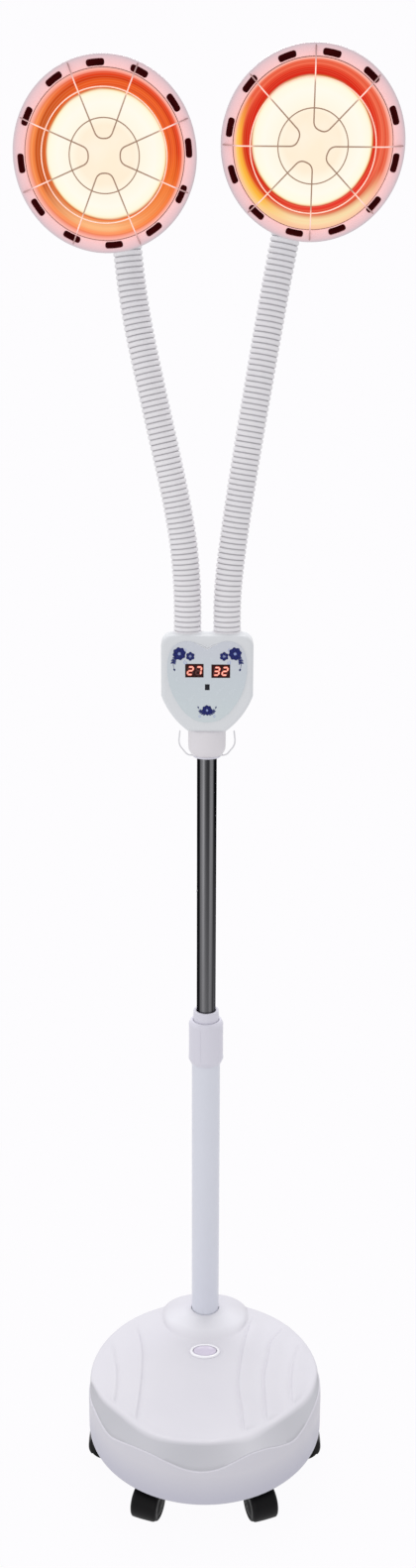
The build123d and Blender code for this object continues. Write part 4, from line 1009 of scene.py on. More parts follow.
# ------------------------------------------------------------------ control box: front film, displays, print
def collar_under_box():
    prof = [(12.55, 956.3), (13.2, 956.0), (17.4, 956.0), (18.4, 956.25), (19.6, 957.1), (21.2, 959.4), (22.6, 962.0), (23.3, 964.4), (23.55, 967.5), (23.6, 975),
            (23.6, 984), (23.55, 988.4), (23.3, 989.8), (22.6, 990.6), (22.0, 991.2), (21.8, 993.0), (12.55, 993.0)]
    o = Shell().lathe(prof, 96, centre=POLE).object("collar_sleeve", M["sleeve"], sharp=40)
    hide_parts("tube_collar")
    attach(o, "mast")


collar_under_box()


def hooks():
    s = Shell()
    for sx in (-1, 1):
        pts = [(sx * 15.5, 120, 954.7), (sx * 24.5, 120, 954.8), (sx * 36, 120, 969), (sx * 34, 120, 987)]
        path = resample(rounded(pts, [14.0, 16.0], 10), 1.2)
        r = np.full(len(path), 0.95)
        r[-1] = 0.5
        s.grid(tube(path, r, 12, up=(0, 1, 0)), cap0=True, cap1=True)
    o = s.object("hook_wires", M["wire"], sharp=60)
    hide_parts("hook_ring")
    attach(o, "mast")
    prof = [(12.6, 953.4), (17.0, 953.4), (17.5, 953.8), (17.6, 954.6), (17.6, 955.5), (17.2, 955.9), (12.6, 955.9)]
    o = Shell().lathe(prof, 72, centre=POLE).object("hook_washer", M["collar"], sharp=40)
    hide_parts("hook_ring")
    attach(o, "mast")


hooks()


def heart_outline():
    """Outer edge of the printed film's front face, from the CAD node."""
    me = NODES["front_panel"].data
    ymin = min(v.co.y for v in me.vertices)
    front = [p for p in me.polygons if all(me.vertices[i].co.y < ymin + 2e-5 for i in p.vertices)]
    count = {}
    pos = {}
    for p in front:
        ids = []
        for i in p.vertices:
            c = me.vertices[i].co
            key = (round(c.x * 1e5), round(c.z * 1e5))
            pos[key] = (c.x * 1000, c.z * 1000)
            ids.append(key)
        for a, b in zip(ids, ids[1:] + ids[:1]):
            if a != b:
                e = (a, b) if a < b else (b, a)
                count[e] = count.get(e, 0) + 1
    nxt = {}
    for (a, b), c in count.items():
        if c == 1:
            nxt.setdefault(a, []).append(b)
            nxt.setdefault(b, []).append(a)
    loops, seen = [], set()
    for s in nxt:
        if s in seen:
            continue
        loop, prev, cur = [s], None, s
        seen.add(s)
        while True:
            step = [k for k in nxt[cur] if k != prev and k not in seen]
            if not step:
                break
            prev, cur = cur, step[0]
            seen.add(cur)
            loop.append(cur)
        loops.append([pos[k] for k in loop])
    def size(l):
        a = np.array(l)
        return (a.max(0) - a.min(0)).sum()
    return np.array(max(loops, key=size)), ymin * 1000


HEART, PANEL_Y = heart_outline()


def inset(loop, d):
    """Moves a closed 2D loop inwards."""
    p = np.asarray(loop, float)
    area = 0.5 * np.sum(p[:, 0] * np.roll(p[:, 1], -1) - np.roll(p[:, 0], -1) * p[:, 1])
    t = np.roll(p, -1, 0) - np.roll(p, 1, 0)
    t /= np.linalg.norm(t, axis=1)[:, None] + 1e-9
    nrm = np.stack([-t[:, 1], t[:, 0]], 1) * (1 if area > 0 else -1)
    return p + nrm * d


def panel_film():
    """The heart-shaped film: smooth lobes, a pointed notch and three windows."""
    right = [(13.4, 1103.0), (18, 1104.9), (24, 1105.8), (33, 1104.3), (41, 1099.5), (47.4, 1085), (48.6, 1070), (45.1, 1048), (37, 1030),
             (25.5, 1015), (13.5, 1007), (0, 1004.4)]
    knots = np.array(right + [(-x, z) for x, z in right[-2::-1]])
    t = np.concatenate([[0], np.cumsum(np.hypot(*np.diff(knots, axis=0).T))])
    q = np.linspace(0, t[-1], 221)
    loop = [(0.0, 1095.6)] + list(zip(spline1(t, knots[:, 0], q), spline1(t, knots[:, 1], q)))
    windows = [(-15.6, 1069.6, 22.2, 16.6), (16.6, 1069.0, 22.6, 16.4), (0.2, 1049.0, 5.4, 7.0)]
    pts, edges = list(loop), [(i, (i + 1) % len(loop)) for i in range(len(loop))]
    for x, z, w, h in windows:
        k = len(pts)
        w, h = w / 2 + 0.2, h / 2 + 0.2
        pts += [(x - w, z - h), (x + w, z - h), (x + w, z + h), (x - w, z + h)]
        edges += [(k, k + 1), (k + 1, k + 2), (k + 2, k + 3), (k + 3, k)]

    def inside(p):
        odd = False
        for (x0, z0), (x1, z1) in zip(loop, loop[1:] + loop[:1]):
            if (z0 > p[1]) != (z1 > p[1]) and p[0] < (x1 - x0) * (p[1] - z0) / (z1 - z0) + x0:
                odd = not odd
        return odd and not any(abs(p[0] - x) < w / 2 + 0.2 and abs(p[1] - z) < h / 2 + 0.2 for x, z, w, h in windows)

    v2, e2, f2, ov, oe, of_ = delaunay_2d_cdt([Vector(p) for p in pts], edges, [], 0, 1e-5)
    v2 = np.array([[p.x, p.y] for p in v2])
    tri = [list(f) for f in f2 if inside(v2[f].mean(0))]
    s = Shell()
    n = len(v2)
    s.add(np.concatenate([np.column_stack([v2[:, 0], np.full(n, PANEL_Y), v2[:, 1]]), np.column_stack([v2[:, 0], np.full(n, PANEL_Y + 1.0), v2[:, 1]])]),
          tri + [[i + n for i in f][::-1] for f in tri] + [[a, b, b + n, a + n] for a, b in edges])
    o = s.object("panel_film", M["panel"], sharp=30)
    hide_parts("front_panel")
    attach(o, "mast")


panel_film()


def notch_highlight_lines():
    """Painted highlight: white double line that follows the notch of the heart."""
    loop = HEART
    top = loop[loop[:, 1] > 1088]
    nx, nz = min(((x, z) for x, z in top if abs(x) < 4), key=lambda p: p[1], default=(0.0, 1099.0))
    s = Shell()
    for lift, w, half in ((0.4, 0.42, 13.0), (3.0, 0.3, 11.0)):
        pts = []
        for x in np.linspace(-half, half, 41):
            k = abs(x) / 13.0
            pts.append((nx + x, PANEL_Y - 0.05, nz + lift + 6.4 * (1 - (1 - k) ** 1.35)))
        r = w * np.sin(np.linspace(0.12, math.pi - 0.12, len(pts))) ** 0.5
        s.grid(tube(pts, r, 8, up=(0, 1, 0)), cap0=True, cap1=True)
    o = s.object("notch_highlight_lines", M["notch_painted_highlight"], sharp=60)
    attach(o, "mast")


notch_highlight_lines()


def flat(shell, outline, y, thick=0.12, mat=0):
    """Thin printed shape facing the front: outline is a list of (x, z), convex enough to fan from its centre."""
    p = np.asarray(outline, float)
    area = 0.5 * np.sum(p[:, 0] * np.roll(p[:, 1], -1) - np.roll(p[:, 0], -1) * p[:, 1])
    if area < 0:
        p = p[::-1]
    n = len(p)
    c = p.mean(0)
    v = [(c[0], y - thick, c[1])] + [(x, y - thick, z) for x, z in p] + [(x, y, z) for x, z in p]
    f = [[0, 1 + i, 1 + (i + 1) % n] for i in range(n)] + [[1 + i, 1 + n + i, 1 + n + (i + 1) % n, 1 + (i + 1) % n] for i in range(n)]
    shell.add(v, f, mat)


def petal(cx, cz, ang, length, width, tip=0.5, n=18):
    """Leaf or petal outline from its foot (cx, cz) in direction ang."""
    out = []
    for i in range(n):
        t = i / (n - 1)
        w = width * math.sin(math.pi * t ** tip) if i not in (0, n - 1) else 0.02
        out.append((t * length, w / 2))
    out += [(x, -w) for x, w in out[::-1][1:-1]]
    c, s = math.cos(ang), math.sin(ang)
    return [(cx + x * c - w * s, cz + x * s + w * c) for x, w in out]


def stem(shell, pts, width, y, mat=0):
    p = resample([(x, 0, z) for x, z in pts], 0.5)[:, (0, 2)]
    t = np.gradient(p, axis=0)
    t /= np.linalg.norm(t, axis=1)[:, None]
    nrm = np.stack([-t[:, 1], t[:, 0]], 1)
    k = np.sin(np.linspace(0.15, math.pi - 0.15, len(p)))[:, None] * 0.5 + 0.5
    a, b = p + nrm * width / 2 * k, p - nrm * width / 2 * k
    rows = np.array([[(q[0], y, q[1]) for q in a], [(q[0], y - 0.08, q[1]) for q in a], [(q[0], y - 0.08, q[1]) for q in b], [(q[0], y, q[1]) for q in b]])
    shell.grid(rows, wrap=False, flip=False, mat=mat)


def curl(cx, cz, r0, r1, a0, turns, n=40):
    out = []
    for i in range(n):
        t = i / (n - 1)
        a = a0 + turns * 2 * math.pi * t
        r = r0 + (r1 - r0) * t
        out.append((cx + r * math.cos(a), cz + r * math.sin(a)))
    return out


def spray(s, x, z, lean, flip, y, scale=1.0, leaves=5):
    """Curved twig with paired leaves."""
    g = -1 if flip else 1
    px, pz = x, z
    line = [(px, pz)]
    for i in range(24):
        a = lean + g * (0.9 * i / 23 - 0.3)
        px += math.cos(a) * 0.86 * scale
        pz += math.sin(a) * 0.86 * scale
        line.append((px, pz))
    stem(s, line, 0.9 * scale, y, 1)
    for k, (i, sz) in enumerate(((3, 4.6), (7, 5.6), (11, 5.8), (15, 5.2), (19, 4.4))[:leaves]):
        cx, cz = line[i]
        a = lean + g * (0.9 * i / 23 - 0.3)
        for sd in (1, -1):
            t = a + sd * (0.86 - 0.05 * k)
            flat(s, petal(cx, cz, t, sz * scale, 3.3 * scale, 0.75), y, 0.12 + 0.05 * (k % 2), 0)
            stem(s, [(cx + math.cos(t) * q * sz * scale, cz + math.sin(t) * q * sz * scale) for q in (0.2, 0.5, 0.8)], 0.3 * scale, y - 0.2, 2)
    cx, cz = line[-1]
    flat(s, petal(cx, cz, lean + g * 0.6, 4.6 * scale, 3.0 * scale, 0.7), y, 0.12, 0)


def daisy(s, x, z, r, n, y, turn=0.0):
    for i in range(n):
        a = turn + 2 * math.pi * i / n
        flat(s, petal(x + math.cos(a) * r * 0.12, z + math.sin(a) * r * 0.12, a, r * 0.9, r * 0.74, 1.35), y, 0.26 + 0.05 * (i % 2), 0)
    for i in range(n):
        a = turn + 2 * math.pi * i / n
        stem(s, [(x + math.cos(a) * r * q, z + math.sin(a) * r * q) for q in (0.34, 0.55, 0.78)], 0.3, y - 0.34, 3)
    dot = [(x + r * 0.2 * math.cos(t), z + r * 0.2 * math.sin(t)) for t in np.linspace(0, 2 * math.pi, 17)[:-1]]
    flat(s, dot, y, 0.4, 2)


def print_motifs():
    y = PANEL_Y
    s = Shell()
    # flowers with a leafy twig below them in each upper lobe, a low wreath at the bottom
    for sx in (-1, 1):
        flip = sx < 0
        daisy(s, sx * 34.0, 1090.6, 8.2, 8, y, 0.2)
        daisy(s, sx * 20.6, 1087.4, 5.6, 6, y, 0.5)
        spray(s, sx * 38.0, 1087.5, math.radians(-72 if sx > 0 else 252), not flip, y, 0.78, 3)
        stem(s, curl(sx * 26.2, 1079.6, 0.5, 2.7, 0.4 if sx > 0 else math.pi - 0.4, 1.15 * sx), 0.6, y, 2)
        stem(s, curl(sx * 27.2, 1094.8, 0.4, 2.0, 2.0 if sx > 0 else 1.1, -1.1 * sx), 0.5, y, 2)
        spray(s, sx * 1.0, 1014.4, math.radians(32 if sx > 0 else 148), flip, y, 0.62, 4)
        stem(s, curl(sx * 8.6, 1012.2, 0.4, 1.8, 1.2 if sx > 0 else 1.9, 1.1 * sx), 0.5, y, 2)
    daisy(s, 0, 1019.9, 6.6, 8, y, 0.1)
    o = s.object("panel_motifs", [M["ink"], M["ink"], M["ink_pale"], M["ink_mid"]], sharp=30)
    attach(o, "mast")


print_motifs()

SEGMENTS = {"2": "abged", "7": "abc", "3": "abgcd"}


def digit(lit, halo, dark, ch, x, z, w, h, slant, y):
    g = 0.25
    seg = {
        "a": ((0, h), (w, h)), "d": ((0, 0), (w, 0)), "g": ((0, h / 2), (w, h / 2)),
        "f": ((0, h / 2), (0, h)), "b": ((w, h / 2), (w, h)), "e": ((0, 0), (0, h / 2)), "c": ((w, 0), (w, h / 2)),
    }

    def bar(p, q, t, grow):
        p, q = np.array(p, float), np.array(q, float)
        d = (q - p) / np.linalg.norm(q - p)
        n = np.array([-d[1], d[0]])
        p, q = p + d * (g - grow), q - d * (g - grow)
        pts = [p, p + d * t / 2 + n * t / 2, q - d * t / 2 + n * t / 2, q, q - d * t / 2 - n * t / 2, p + d * t / 2 - n * t / 2]
        return [(x - w / 2 + a + (b - h / 2) * slant, z - h / 2 + b) for a, b in pts]

    for k, (p, q) in seg.items():
        if k in SEGMENTS[ch]:
            flat(halo, bar(p, q, 2.7, 0.45), y, 0.12)
            flat(lit, bar(p, q, 1.6, 0.0), y, 0.2)
        else:
            flat(dark, bar(p, q, 1.6, 0.0), y, 0.06)


def displays():
    lit, halo, dark = Shell(), Shell(), Shell()
    y = 91.5
    for (x, z, w, h), text in (((-15.6, 1069.6, 22.2, 16.6), "27"), ((16.6, 1069.0, 22.6, 16.4), "32")):
        for i, ch in enumerate(text):
            digit(lit, halo, dark, ch, x + (-4.9 if i == 0 else 5.2), z - 0.2, 5.9, 9.4, 0.16, y)
    for sh, name, key in ((lit, "display_digits", "lit"), (halo, "display_halo", "halo"), (dark, "display_unlit", "unlit")):
        o = sh.object(name, M[key], sharp=30)
        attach(o, "mast")


displays()

# ------------------------------------------------------------------ flexible arms
ARMS = {
    "left": dict(J=[(-24.4, 120, 1145), (-30.5, 122.5, 1228), (-49, 127, 1322), (-69.5, 132, 1412), (-88.706, 137.693, 1510.693),
                    (-102.518, 114.305, 1636.256)], A0=(-96.907, 137.693, 1585.243), slope=-0.11, pitch=8.0, C=(-101.5, -120, 1627)),
    "right": dict(J=[(24.4, 120, 1145), (31.5, 122.5, 1225), (47, 128, 1330), (62, 134, 1420), (80.348, 140.632, 1525.676),
                     (106.708, 114.963, 1664.411)], A0=(96.774, 140.632, 1612.129), slope=0.19, pitch=13.0, C=(101.5, -120, 1637)),
}
BEND_R = 68.0
RIB_SHAPE = [(0.0, 14.9), (0.07, 15.4), (0.15, 16.3), (0.25, 16.8), (0.40, 17.05), (0.55, 17.1), (0.70, 17.0), (0.82, 16.65), (0.91, 15.9), (0.96, 15.25)]


def cubic_path(points, t0, t1, step=1.0):
    """C2 curve through points with given end directions."""
    p = np.array(points, float)
    d = np.concatenate([[0], np.cumsum(np.linalg.norm(np.diff(p, axis=0), axis=1))])
    n = len(p)
    A = np.zeros((n, n))
    B = np.zeros((n, 3))
    A[0, 0], B[0] = 1, np.array(t0) / np.linalg.norm(t0)
    A[-1, -1], B[-1] = 1, np.array(t1) / np.linalg.norm(t1)
    for i in range(1, n - 1):
        h0, h1 = d[i] - d[i - 1], d[i + 1] - d[i]
        A[i, i - 1], A[i, i], A[i, i + 1] = h1, 2 * (h0 + h1), h0
        B[i] = 3 * (h1 / h0 * (p[i] - p[i - 1]) + h0 / h1 * (p[i + 1] - p[i]))
    m = np.linalg.solve(A, B)
    out = []
    for i in range(n - 1):
        h = d[i + 1] - d[i]
        for t in np.arange(0, 1, step / h):
            out.append((2 * t**3 - 3 * t**2 + 1) * p[i] + (t**3 - 2 * t**2 + t) * h * m[i]
                       + (-2 * t**3 + 3 * t**2) * p[i + 1] + (t**3 - t**2) * h * m[i + 1])
    out.append(p[-1])
    return np.array(out)


def arm(side):
    A = ARMS[side]
    J, A0 = [np.array(p, float) for p in A["J"]], np.array(A["A0"])
    nn = math.hypot(A["slope"], 1)
    T = np.array([A["slope"] / nn, 0, 1 / nn])
    F = np.array([0, -1.0, 0])
    ang = math.radians(90 + A["pitch"])
    foot = np.array([J[0][0], 120.0, 1113.0])
    low = cubic_path([foot, *J[:5], A0], (0, 0, 1), T)
    bend = np.array([A0 + BEND_R * (1 - math.cos(a)) * F + BEND_R * math.sin(a) * T for a in np.linspace(0, ang, 120)[1:]])
    path = np.concatenate([low, bend])
    s = np.concatenate([[0], np.cumsum(np.linalg.norm(np.diff(path, axis=0), axis=1))])
    L = s[-1]
    ribs = int(round((L - 3) / 6.3))
    pitch = (L - 2.0) / ribs
    # rows along the hose: the ribs, then one closing row at the end
    rows_s, rows_r = [], []
    for k in range(ribs):
        for ph, r in RIB_SHAPE:
            rows_s.append(1.0 + (k + ph) * pitch)
            rows_r.append(r)
    rows_s.append(1.0 + ribs * pitch)
    rows_r.append(RIB_SHAPE[0][1])
    rows_s, rows_r = np.array(rows_s), np.array(rows_r)
    centre = np.stack([np.interp(rows_s, s, path[:, k]) for k in range(3)], 1)
    t, a, b = frames(centre, (1, 0, 0))
    w = np.arange(40) * 2 * math.pi / 40
    ring = a[:, None] * np.cos(w)[None, :, None] + b[:, None] * np.sin(w)[None, :, None]
    rows = centre[:, None] + rows_r[:, None, None] * ring
    # arc length of each joint
    js = []
    for j in J:
        js.append(s[np.argmin(np.linalg.norm(path - j, axis=1))])
    per = len(RIB_SHAPE)
    cuts = [0]
    for a0, a1 in zip(js, js[1:]):
        mid = (a0 + a1) / 2
        cuts.append(int(round((mid - 1.0) / pitch)) * per)
    cuts.append(len(rows_s) - 1)
    for k in range(6):
        i0, i1 = cuts[k], cuts[k + 1]
        sh = Shell().grid(rows[i0:i1 + 1], flip=False)
        o = sh.object(f"hose_{side}_{k + 1}", M["hose"], sharp=75)
        at = o.data.attributes.new("rib", "FLOAT", "POINT")
        depth = np.repeat((rows_r[i0:i1 + 1] - 14.9) / 2.2, 40).astype(np.float32)
        at.data.foreach_set("value", depth)
        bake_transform(o)
        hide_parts(f"arm_{side}_{k + 1}")
    return T


for side in SIDES:
    arm(side)

# cuffs where the hoses stand in the box
s = Shell()
for sx in (-24.4, 24.4):
    s.lathe([(14.6, 1110.5), (17.2, 1110.5), (17.7, 1112.0), (17.8, 1112.8), (17.6, 1113.6), (17.0, 1114.2), (16.0, 1114.4), (15.0, 1114.2),
             (14.6, 1113.6)], 72, centre=(sx, 120))
o = s.object("hose_cuffs", M["hose"], sharp=50)
at = o.data.attributes.new("rib", "FLOAT", "POINT")
at.data.foreach_set("value", np.full(len(o.data.vertices), 0.95, np.float32))
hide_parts("arm_ferrules")
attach(o, "mast")


# ------------------------------------------------------------------ heads
def head_matrix(side):
    A = ARMS[side]
    nn = math.hypot(A["slope"], 1)
    T = Vector((A["slope"] / nn, 0, 1 / nn))
    F = Vector((0, -1, 0))
    a = math.radians(90 + A["pitch"])
    f = (math.sin(a) * F + math.cos(a) * T).normalized()
    b = -f
    x = (Vector((1, 0, 0)) - b * b.x).normalized()
    up = f.cross(x)
    m = Matrix((x, up, f)).transposed().to_4x4()
    m.translation = Vector(A["C"]) * MM
    return m


VENTS = {"left": 5.0, "right": 19.2}
GUARD = {"left": 22.5, "right": 0.0}


def shade(side, H):
    outer = [(88.35, 3.0), (88.35, 16.0), (88.2, 22.0), (87.6, 23.2), (87.3, 26), (86.6, 34), (85, 45), (82.6, 55), (79.6, 64.5), (77.2, 70.6), (76.0, 71.6),
             (75.2, 73.2), (72.0, 82), (66.5, 95), (60.2, 107), (53, 118), (46.5, 128.2), (39, 138), (33.6, 145.6), (30.6, 151), (29.2, 155), (29.0, 158.6),
             (29.4, 160.2), (30.4, 161), (30.7, 162.2), (30.5, 174.0), (29.9, 175.6), (28.4, 176.8), (25.0, 179.8), (22.4, 181.6), (20.6, 182), (16.2, 182),
             (15.8, 181), (15.6, 178)]
    inner = [(26, 160), (28.1, 151.4), (37.2, 136.8), (51.4, 116.4), (64.8, 93.6), (75.6, 69), (83, 45), (86.2, 22), (86.2, 3.0)]
    n = 128
    a = np.arange(n) * 2 * math.pi / n
    s = Shell()
    rows = []
    for r, w in outer:
        rr = np.full(n, r)
        if 161.5 < w < 175:
            rr = rr - 0.7 * (0.5 + 0.5 * np.cos(a * 32)) ** 3
        rows.append(np.stack([rr * np.cos(a), rr * np.sin(a), np.full(n, -w)], 1))
    s.grid(np.array(rows), flip=False)
    rows = [np.stack([r * np.cos(a), r * np.sin(a), np.full(n, -w)], 1) for r, w in [(15.6, 178)] + inner + [(88.35, 3.0)]]
    s.grid(np.array(rows), mat=1, flip=False)
    o = s.object("shade_shell_" + side, [M["shade"], M["shade_in"]], sharp=40, matrix=H, merge=0.01)
    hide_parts("shade_" + side)
    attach(o, "head_" + side)


def reflector(side, H):
    prof = [(77.6, 0.9), (76.5, 6), (75.0, 16), (74.6, 17.6), (73.9, 18.6), (73.3, 24), (72.3, 31), (71.6, 35.2), (70.8, 36.2), (70.1, 41), (68.9, 47), (68.2, 50.4),
            (67.3, 51.4), (66.6, 56), (65.0, 63.5), (64.2, 66.5), (63.2, 67.5), (60.5, 77), (57, 88), (51.5, 101), (45.5, 112), (39.5, 123), (33, 133), (28, 140.5),
            (24.2, 145.5)]
    out = [(25.6, 146.2), (34.4, 134.6), (46.8, 113.6), (58.5, 90.4), (66.6, 66.4), (72.0, 42.2), (76.2, 20.2), (77.85, 2.4), (77.85, 1.2), (77.75, 0.9)]
    n = 144
    a = np.arange(n) * 2 * math.pi / n
    s = Shell()
    s.grid(np.array([np.stack([r * np.cos(a), r * np.sin(a), np.full(n, -w)], 1) for r, w in prof]), flip=True, mat=0)
    s.grid(np.array([np.stack([r * np.cos(a), r * np.sin(a), np.full(n, -w)], 1) for r, w in [prof[-1]] + out + [prof[0]]]), flip=True, mat=1)
    o = s.object("reflector_dish_" + side, [M["dish_" + side], M["shade_in"]], sharp=32, matrix=H, merge=0.01)
    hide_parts("reflector_" + side)
    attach(o, "head_" + side)


def bulb(side, H):
    pts = [(0.0, 21.5), (14, 21.65), (24, 22.0), (34, 22.8), (42, 23.9), (49, 25.4), (54, 27.4), (57.2, 29.6), (59.2, 31.6), (59.9, 32.7), (60.2, 33.6),
           (60.9, 34.8), (61.7, 37.2), (62.3, 40.5), (62.5, 44), (62.2, 50), (60.6, 58), (57.6, 68), (53.5, 80), (48.5, 91), (43, 101), (37, 111), (31, 120),
           (25, 129), (20, 136), (16.8, 140.8), (14.5, 144), (13.4, 147)]
    n = 128
    a = np.arange(n) * 2 * math.pi / n
    s = Shell()
    rows = [np.stack([r * np.cos(a), r * np.sin(a), np.full(n, -w)], 1) for r, w in pts[1:]]
    s.grid(np.array(rows), flip=False)
    # centre of the face
    s.add(np.concatenate([[[0, 0, -21.5]], rows[0]]), [[0, 1 + i, 1 + (i + 1) % n] for i in range(n)])
    cap = [(13.4, 147)]
    for k in range(6):
        w = 149 + k * 2.8
        cap += [(13.3, w), (12.7, w + 0.9), (12.6, w + 1.5), (13.2, w + 2.4)]
    cap += [(12.8, 166.4), (9, 170.0), (4.8, 170.8), (4.4, 171.4), (1.5, 171.4), (1.4, 169)]
    s.grid(np.array([np.stack([r * np.cos(a), r * np.sin(a), np.full(n, -w)], 1) for r, w in cap]), mat=1, flip=False)
    o = s.object("bulb_envelope_" + side, [M["bulb_" + side], M["cap_brass"]], sharp=30, matrix=H, merge=0.01)
    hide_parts("bulb_" + side)
    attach(o, "head_" + side)


def rim_ring(side, H):
    """Ring with twelve oblong vents; every 30 degree sector is a grid wrapped round its vent."""
    r_in, r_out, r0 = 78.6, 87.6, 82.4
    half_l, half_h, cr = 8.9, 3.15, 2.5

    def front(r):
        return 0.25 + 0.85 * ((r - 83.8) / 5.0) ** 2 * (1.0 if r < 83.8 else 0.35)

    def slot_outline(grow):
        L, Hh, c = half_l + grow, half_h + grow, cr + grow
        out = []
        top = [math.radians(v) for v in (135, 112.5, 90)]
        for t in top:
            out.append((-(L - c) + c * math.cos(t), Hh - c + c * math.sin(t)))
        for k in range(1, 7):
            out.append((-(L - c) + 2 * (L - c) * k / 6, Hh))
        out[-1] = (L - c, Hh)
        for t in (67.5, 45):
            t = math.radians(t)
            out.append((L - c + c * math.cos(t), Hh - c + c * math.sin(t)))
        for t in (22.5, 0, -22.5, -45):
            t = math.radians(t)
            cz = Hh - c if t > 0 else (0 if t == 0 else -(Hh - c))
            out.append((L - c + c * math.cos(t), cz + c * math.sin(t)))
        n = len(out) - 1
        half = [(-x, -y) for x, y in out[1:]]
        return out + half[:-1]

    def box_outline():
        out = [(-15 + 3 * k, r_out) for k in range(11)]
        out += [(15, r_out + (r_in - r_out) * k / 4) for k in range(1, 5)]
        out += [(15 - 3 * k, r_in) for k in range(1, 11)]
        out += [(-15, r_in + (r_out - r_in) * k / 4) for k in range(1, 4)]
        return out

    s = Shell()
    slot0 = slot_outline(0.0)
    slot1 = slot_outline(0.35)
    edge = box_outline()
    assert len(slot0) == len(edge) == 28, (len(slot0), len(edge))
    for k in range(12):
        mid = VENTS[side] + 30 * k

        def polar(x, y, w):
            r = r0 + y
            a = math.radians(mid) - x / r0
            return (r * math.cos(a), r * math.sin(a), -w)

        rows = [[polar(x, y, front(r0 + y) + 3.4) for x, y in slot0], [polar(x, y, front(r0 + y) + 0.5) for x, y in slot0],
                [polar(x, y, front(r0 + y) + 0.12) for x, y in slot_outline(0.12)], [polar(x, y, front(r0 + y)) for x, y in slot1]]
        for t in (0.3, 0.6, 0.85, 1.0):
            row = []
            for (x, y), (d, r) in zip(slot1, edge):
                px, pr = x * (1 - t) + (math.radians(d) * r0) * t, (r0 + y) * (1 - t) + r * t
                row.append(polar(px, pr - r0, front(pr)))
            rows.append(row)
        s.grid(np.array(rows), flip=False)
    n = 120
    a = np.radians(VENTS[side] - 15) + np.arange(n) * 2 * math.pi / n
    outer = [(r_out, front(r_out)), (88.5, front(88.3) + 0.05), (89.2, 0.85), (89.7, 1.35), (89.95, 2.1), (90.0, 3.0), (90.0, 12.5), (89.85, 15.2), (89.4, 15.9),
             (88.6, 16.0), (88.5, 14.0), (88.5, 4.6), (88.2, 3.9), (r_out, 3.8)]
    s.grid(np.array([np.stack([r * np.cos(a), r * np.sin(a), np.full(n, -w)], 1) for r, w in outer]), flip=False)
    lip = [(r_in, 3.9), (78.9, 4.4), (78.9, 9.0), (78.7, 9.3), (78.3, 9.0), (78.05, 2.2), (78.1, 1.6), (78.3, front(78.3) + 0.1), (r_in, front(r_in))]
    s.grid(np.array([np.stack([r * np.cos(a), r * np.sin(a), np.full(n, -w)], 1) for r, w in lip]), flip=False)
    o = s.object("rim_ring_" + side, [M["ring_" + side]], sharp=45, matrix=H, merge=0.02)
    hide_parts("front_ring_" + side)
    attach(o, "head_" + side)


def guard(side, H):
    s = Shell()
    W = 11.0
    for k in range(4):
        base = math.radians(GUARD[side] + 22.5 + 90 * k + 45)
        h = math.radians(22.5)

        def at(r, off, w):
            return np.array([r * math.cos(base + off), r * math.sin(base + off), -w])

        x0 = 15.5 / math.cos(h)
        pts = [at(88.0, h, 1.1), at(70, h, -W), at(x0, h, -W), at(x0, -h, -W), at(70, -h, -W), at(88.0, -h, 1.1)]
        path = resample(rounded(pts, [9.0, 8.5, 8.5, 9.0], 8), 1.6)
        s.grid(tube(path, 0.7, 10, up=(0, 0, 1)), cap0=True, cap1=True)
    t = np.arange(160) * 2 * math.pi / 160
    for r in (34.0, 61.0):
        ring = np.stack([r * np.cos(t), r * np.sin(t), np.full(160, W - 1.3)], 1)
        s.grid(tube(ring, 0.6, 10, up=(0, 0, 1), closed=True), close=True)
    o = s.object("guard_wires_" + side, M["guard_" + side], sharp=60, matrix=H)
    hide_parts("wire_guard_" + side)
    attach(o, "head_" + side)


for side in SIDES:
    H = head_matrix(side)
    shade(side, H)
    reflector(side, H)
    bulb(side, H)
    rim_ring(side, H)
    guard(side, H)


# ------------------------------------------------------------------ finishes of the CAD nodes that stay
KEEP = {
    "base_plate": "steel", "counterweight": "iron", "pole_socket": "steel", "base_screws": "screw", "cord_gland": "gland", "caster_stems": "steel",
    "outer_tube": "tube_white", "guide_bush": "bush", "inner_tube": "mirror", "box_front_shell": "box", "box_rear_shell": "box",
    "box_screws": "screw", "digit_displays": "display", "ir_window": "ir", "circuit_board": "board",
    "lampholder_left": "ceramic", "lampholder_right": "ceramic",
}
for node, key in KEEP.items():
    o = NODES[node]
    for sl in o.material_slots:
        sl.material = M[key]
    if not o.material_slots:
        o.data.materials.append(M[key])

# ------------------------------------------------------------------ studio
scene = bpy.context.scene
world = bpy.data.worlds.new("studio")
scene.world = world
world.use_nodes = True
bg = world.node_tree.nodes["Background"]
bg.inputs[0].default_value = (0.985, 0.985, 1.0, 1)
bg.inputs[1].default_value = 0.72


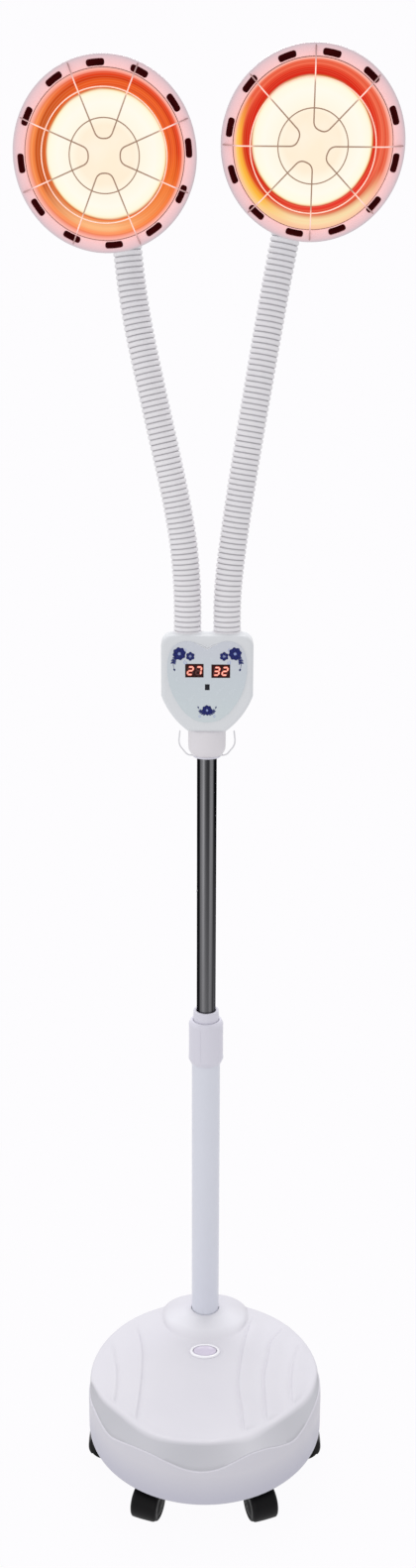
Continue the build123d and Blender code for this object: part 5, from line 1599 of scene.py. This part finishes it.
def stage_material(name, color, glow, fade=None):
    m = bpy.data.materials.new(name)
    m.use_nodes = True
    nt = m.node_tree
    nt.nodes.clear()
    out = nt.nodes.new("ShaderNodeOutputMaterial")
    em = nt.nodes.new("ShaderNodeEmission")
    em.inputs[0].default_value = glow
    if fade is None:
        nt.links.new(em.outputs[0], out.inputs[0])
        return m
    df = nt.nodes.new("ShaderNodeBsdfDiffuse")
    df.inputs[0].default_value = color
    tc = nt.nodes.new("ShaderNodeTexCoord")
    ln = nt.nodes.new("ShaderNodeVectorMath")
    ln.operation = "LENGTH"
    nt.links.new(tc.outputs["Object"], ln.inputs[0])
    mr = nt.nodes.new("ShaderNodeMapRange")
    mr.interpolation_type = "SMOOTHSTEP"
    mr.inputs[1].default_value, mr.inputs[2].default_value = fade
    mr.inputs[3].default_value = 0.98
    nt.links.new(ln.outputs["Value"], mr.inputs[0])
    mx = nt.nodes.new("ShaderNodeMixShader")
    nt.links.new(mr.outputs[0], mx.inputs[0])
    nt.links.new(df.outputs[0], mx.inputs[1])
    nt.links.new(em.outputs[0], mx.inputs[2])
    nt.links.new(mx.outputs[0], out.inputs[0])
    return m


BACK = srgb(253, 252, 254)
me = bpy.data.meshes.new("studio_floor")
n = 96
me.from_pydata([(0, 0, 0)] + [(3.2 * math.cos(2 * math.pi * i / n), 3.2 * math.sin(2 * math.pi * i / n), 0) for i in range(n)], [],
               [(0, 1 + i, 1 + (i + 1) % n) for i in range(n)])
floor = bpy.data.objects.new("studio_floor", me)
me.materials.append(stage_material("floor_pale", (0.93, 0.93, 0.935, 1), BACK, (0.0, 0.9)))
scene.collection.objects.link(floor)
floor.visible_diffuse = False

bm = bmesh.new()
bmesh.ops.create_uvsphere(bm, u_segments=64, v_segments=32, radius=24)
me = bpy.data.meshes.new("studio_backdrop")
bm.to_mesh(me)
bm.free()
me.shade_smooth()
backdrop = bpy.data.objects.new("studio_backdrop", me)
me.materials.append(stage_material("backdrop_white", BACK, BACK))
scene.collection.objects.link(backdrop)
backdrop.visible_diffuse = False
backdrop.visible_glossy = False
backdrop.visible_transmission = False
backdrop.visible_shadow = False
backdrop.visible_volume_scatter = False


def area(name, loc, target, size, power, color=(1, 1, 1)):
    d = bpy.data.lights.new(name, "AREA")
    d.shape = "DISK"
    d.size = size
    d.energy = power
    d.color = color
    o = bpy.data.objects.new(name, d)
    scene.collection.objects.link(o)
    o.location = loc
    o.rotation_euler = (Vector(target) - Vector(loc)).to_track_quat("-Z", "Y").to_euler()
    return o


area("key_top", (0.0, 1.4, 3.4), (0, 0, 0.4), 2.2, 56)
area("fill_right", (2.7, -0.7, 1.5), (0, 0, 0.8), 2.0, 2, (0.98, 0.98, 1.0))
area("fill_left", (-2.7, -0.6, 1.4), (0, 0, 0.8), 2.0, 9)
area("fill_front", (-0.5, -3.3, 1.7), (0, 0, 0.9), 2.6, 13)

cam_data = bpy.data.cameras.new("camera")
cam = bpy.data.objects.new("camera", cam_data)
scene.collection.objects.link(cam)
cam.location = (0.0015, -1.667, 1.446)
cam.rotation_euler = (Matrix.Rotation(math.radians(73.5), 3, "X") @ Matrix.Rotation(math.radians(0.2), 3, "Z")).to_euler()
cam_data.sensor_width = 36
cam_data.lens = 33.68
cam_data.clip_end = 100
scene.camera = cam
scene.view_settings.view_transform = "Standard"
scene.view_settings.look = "None"
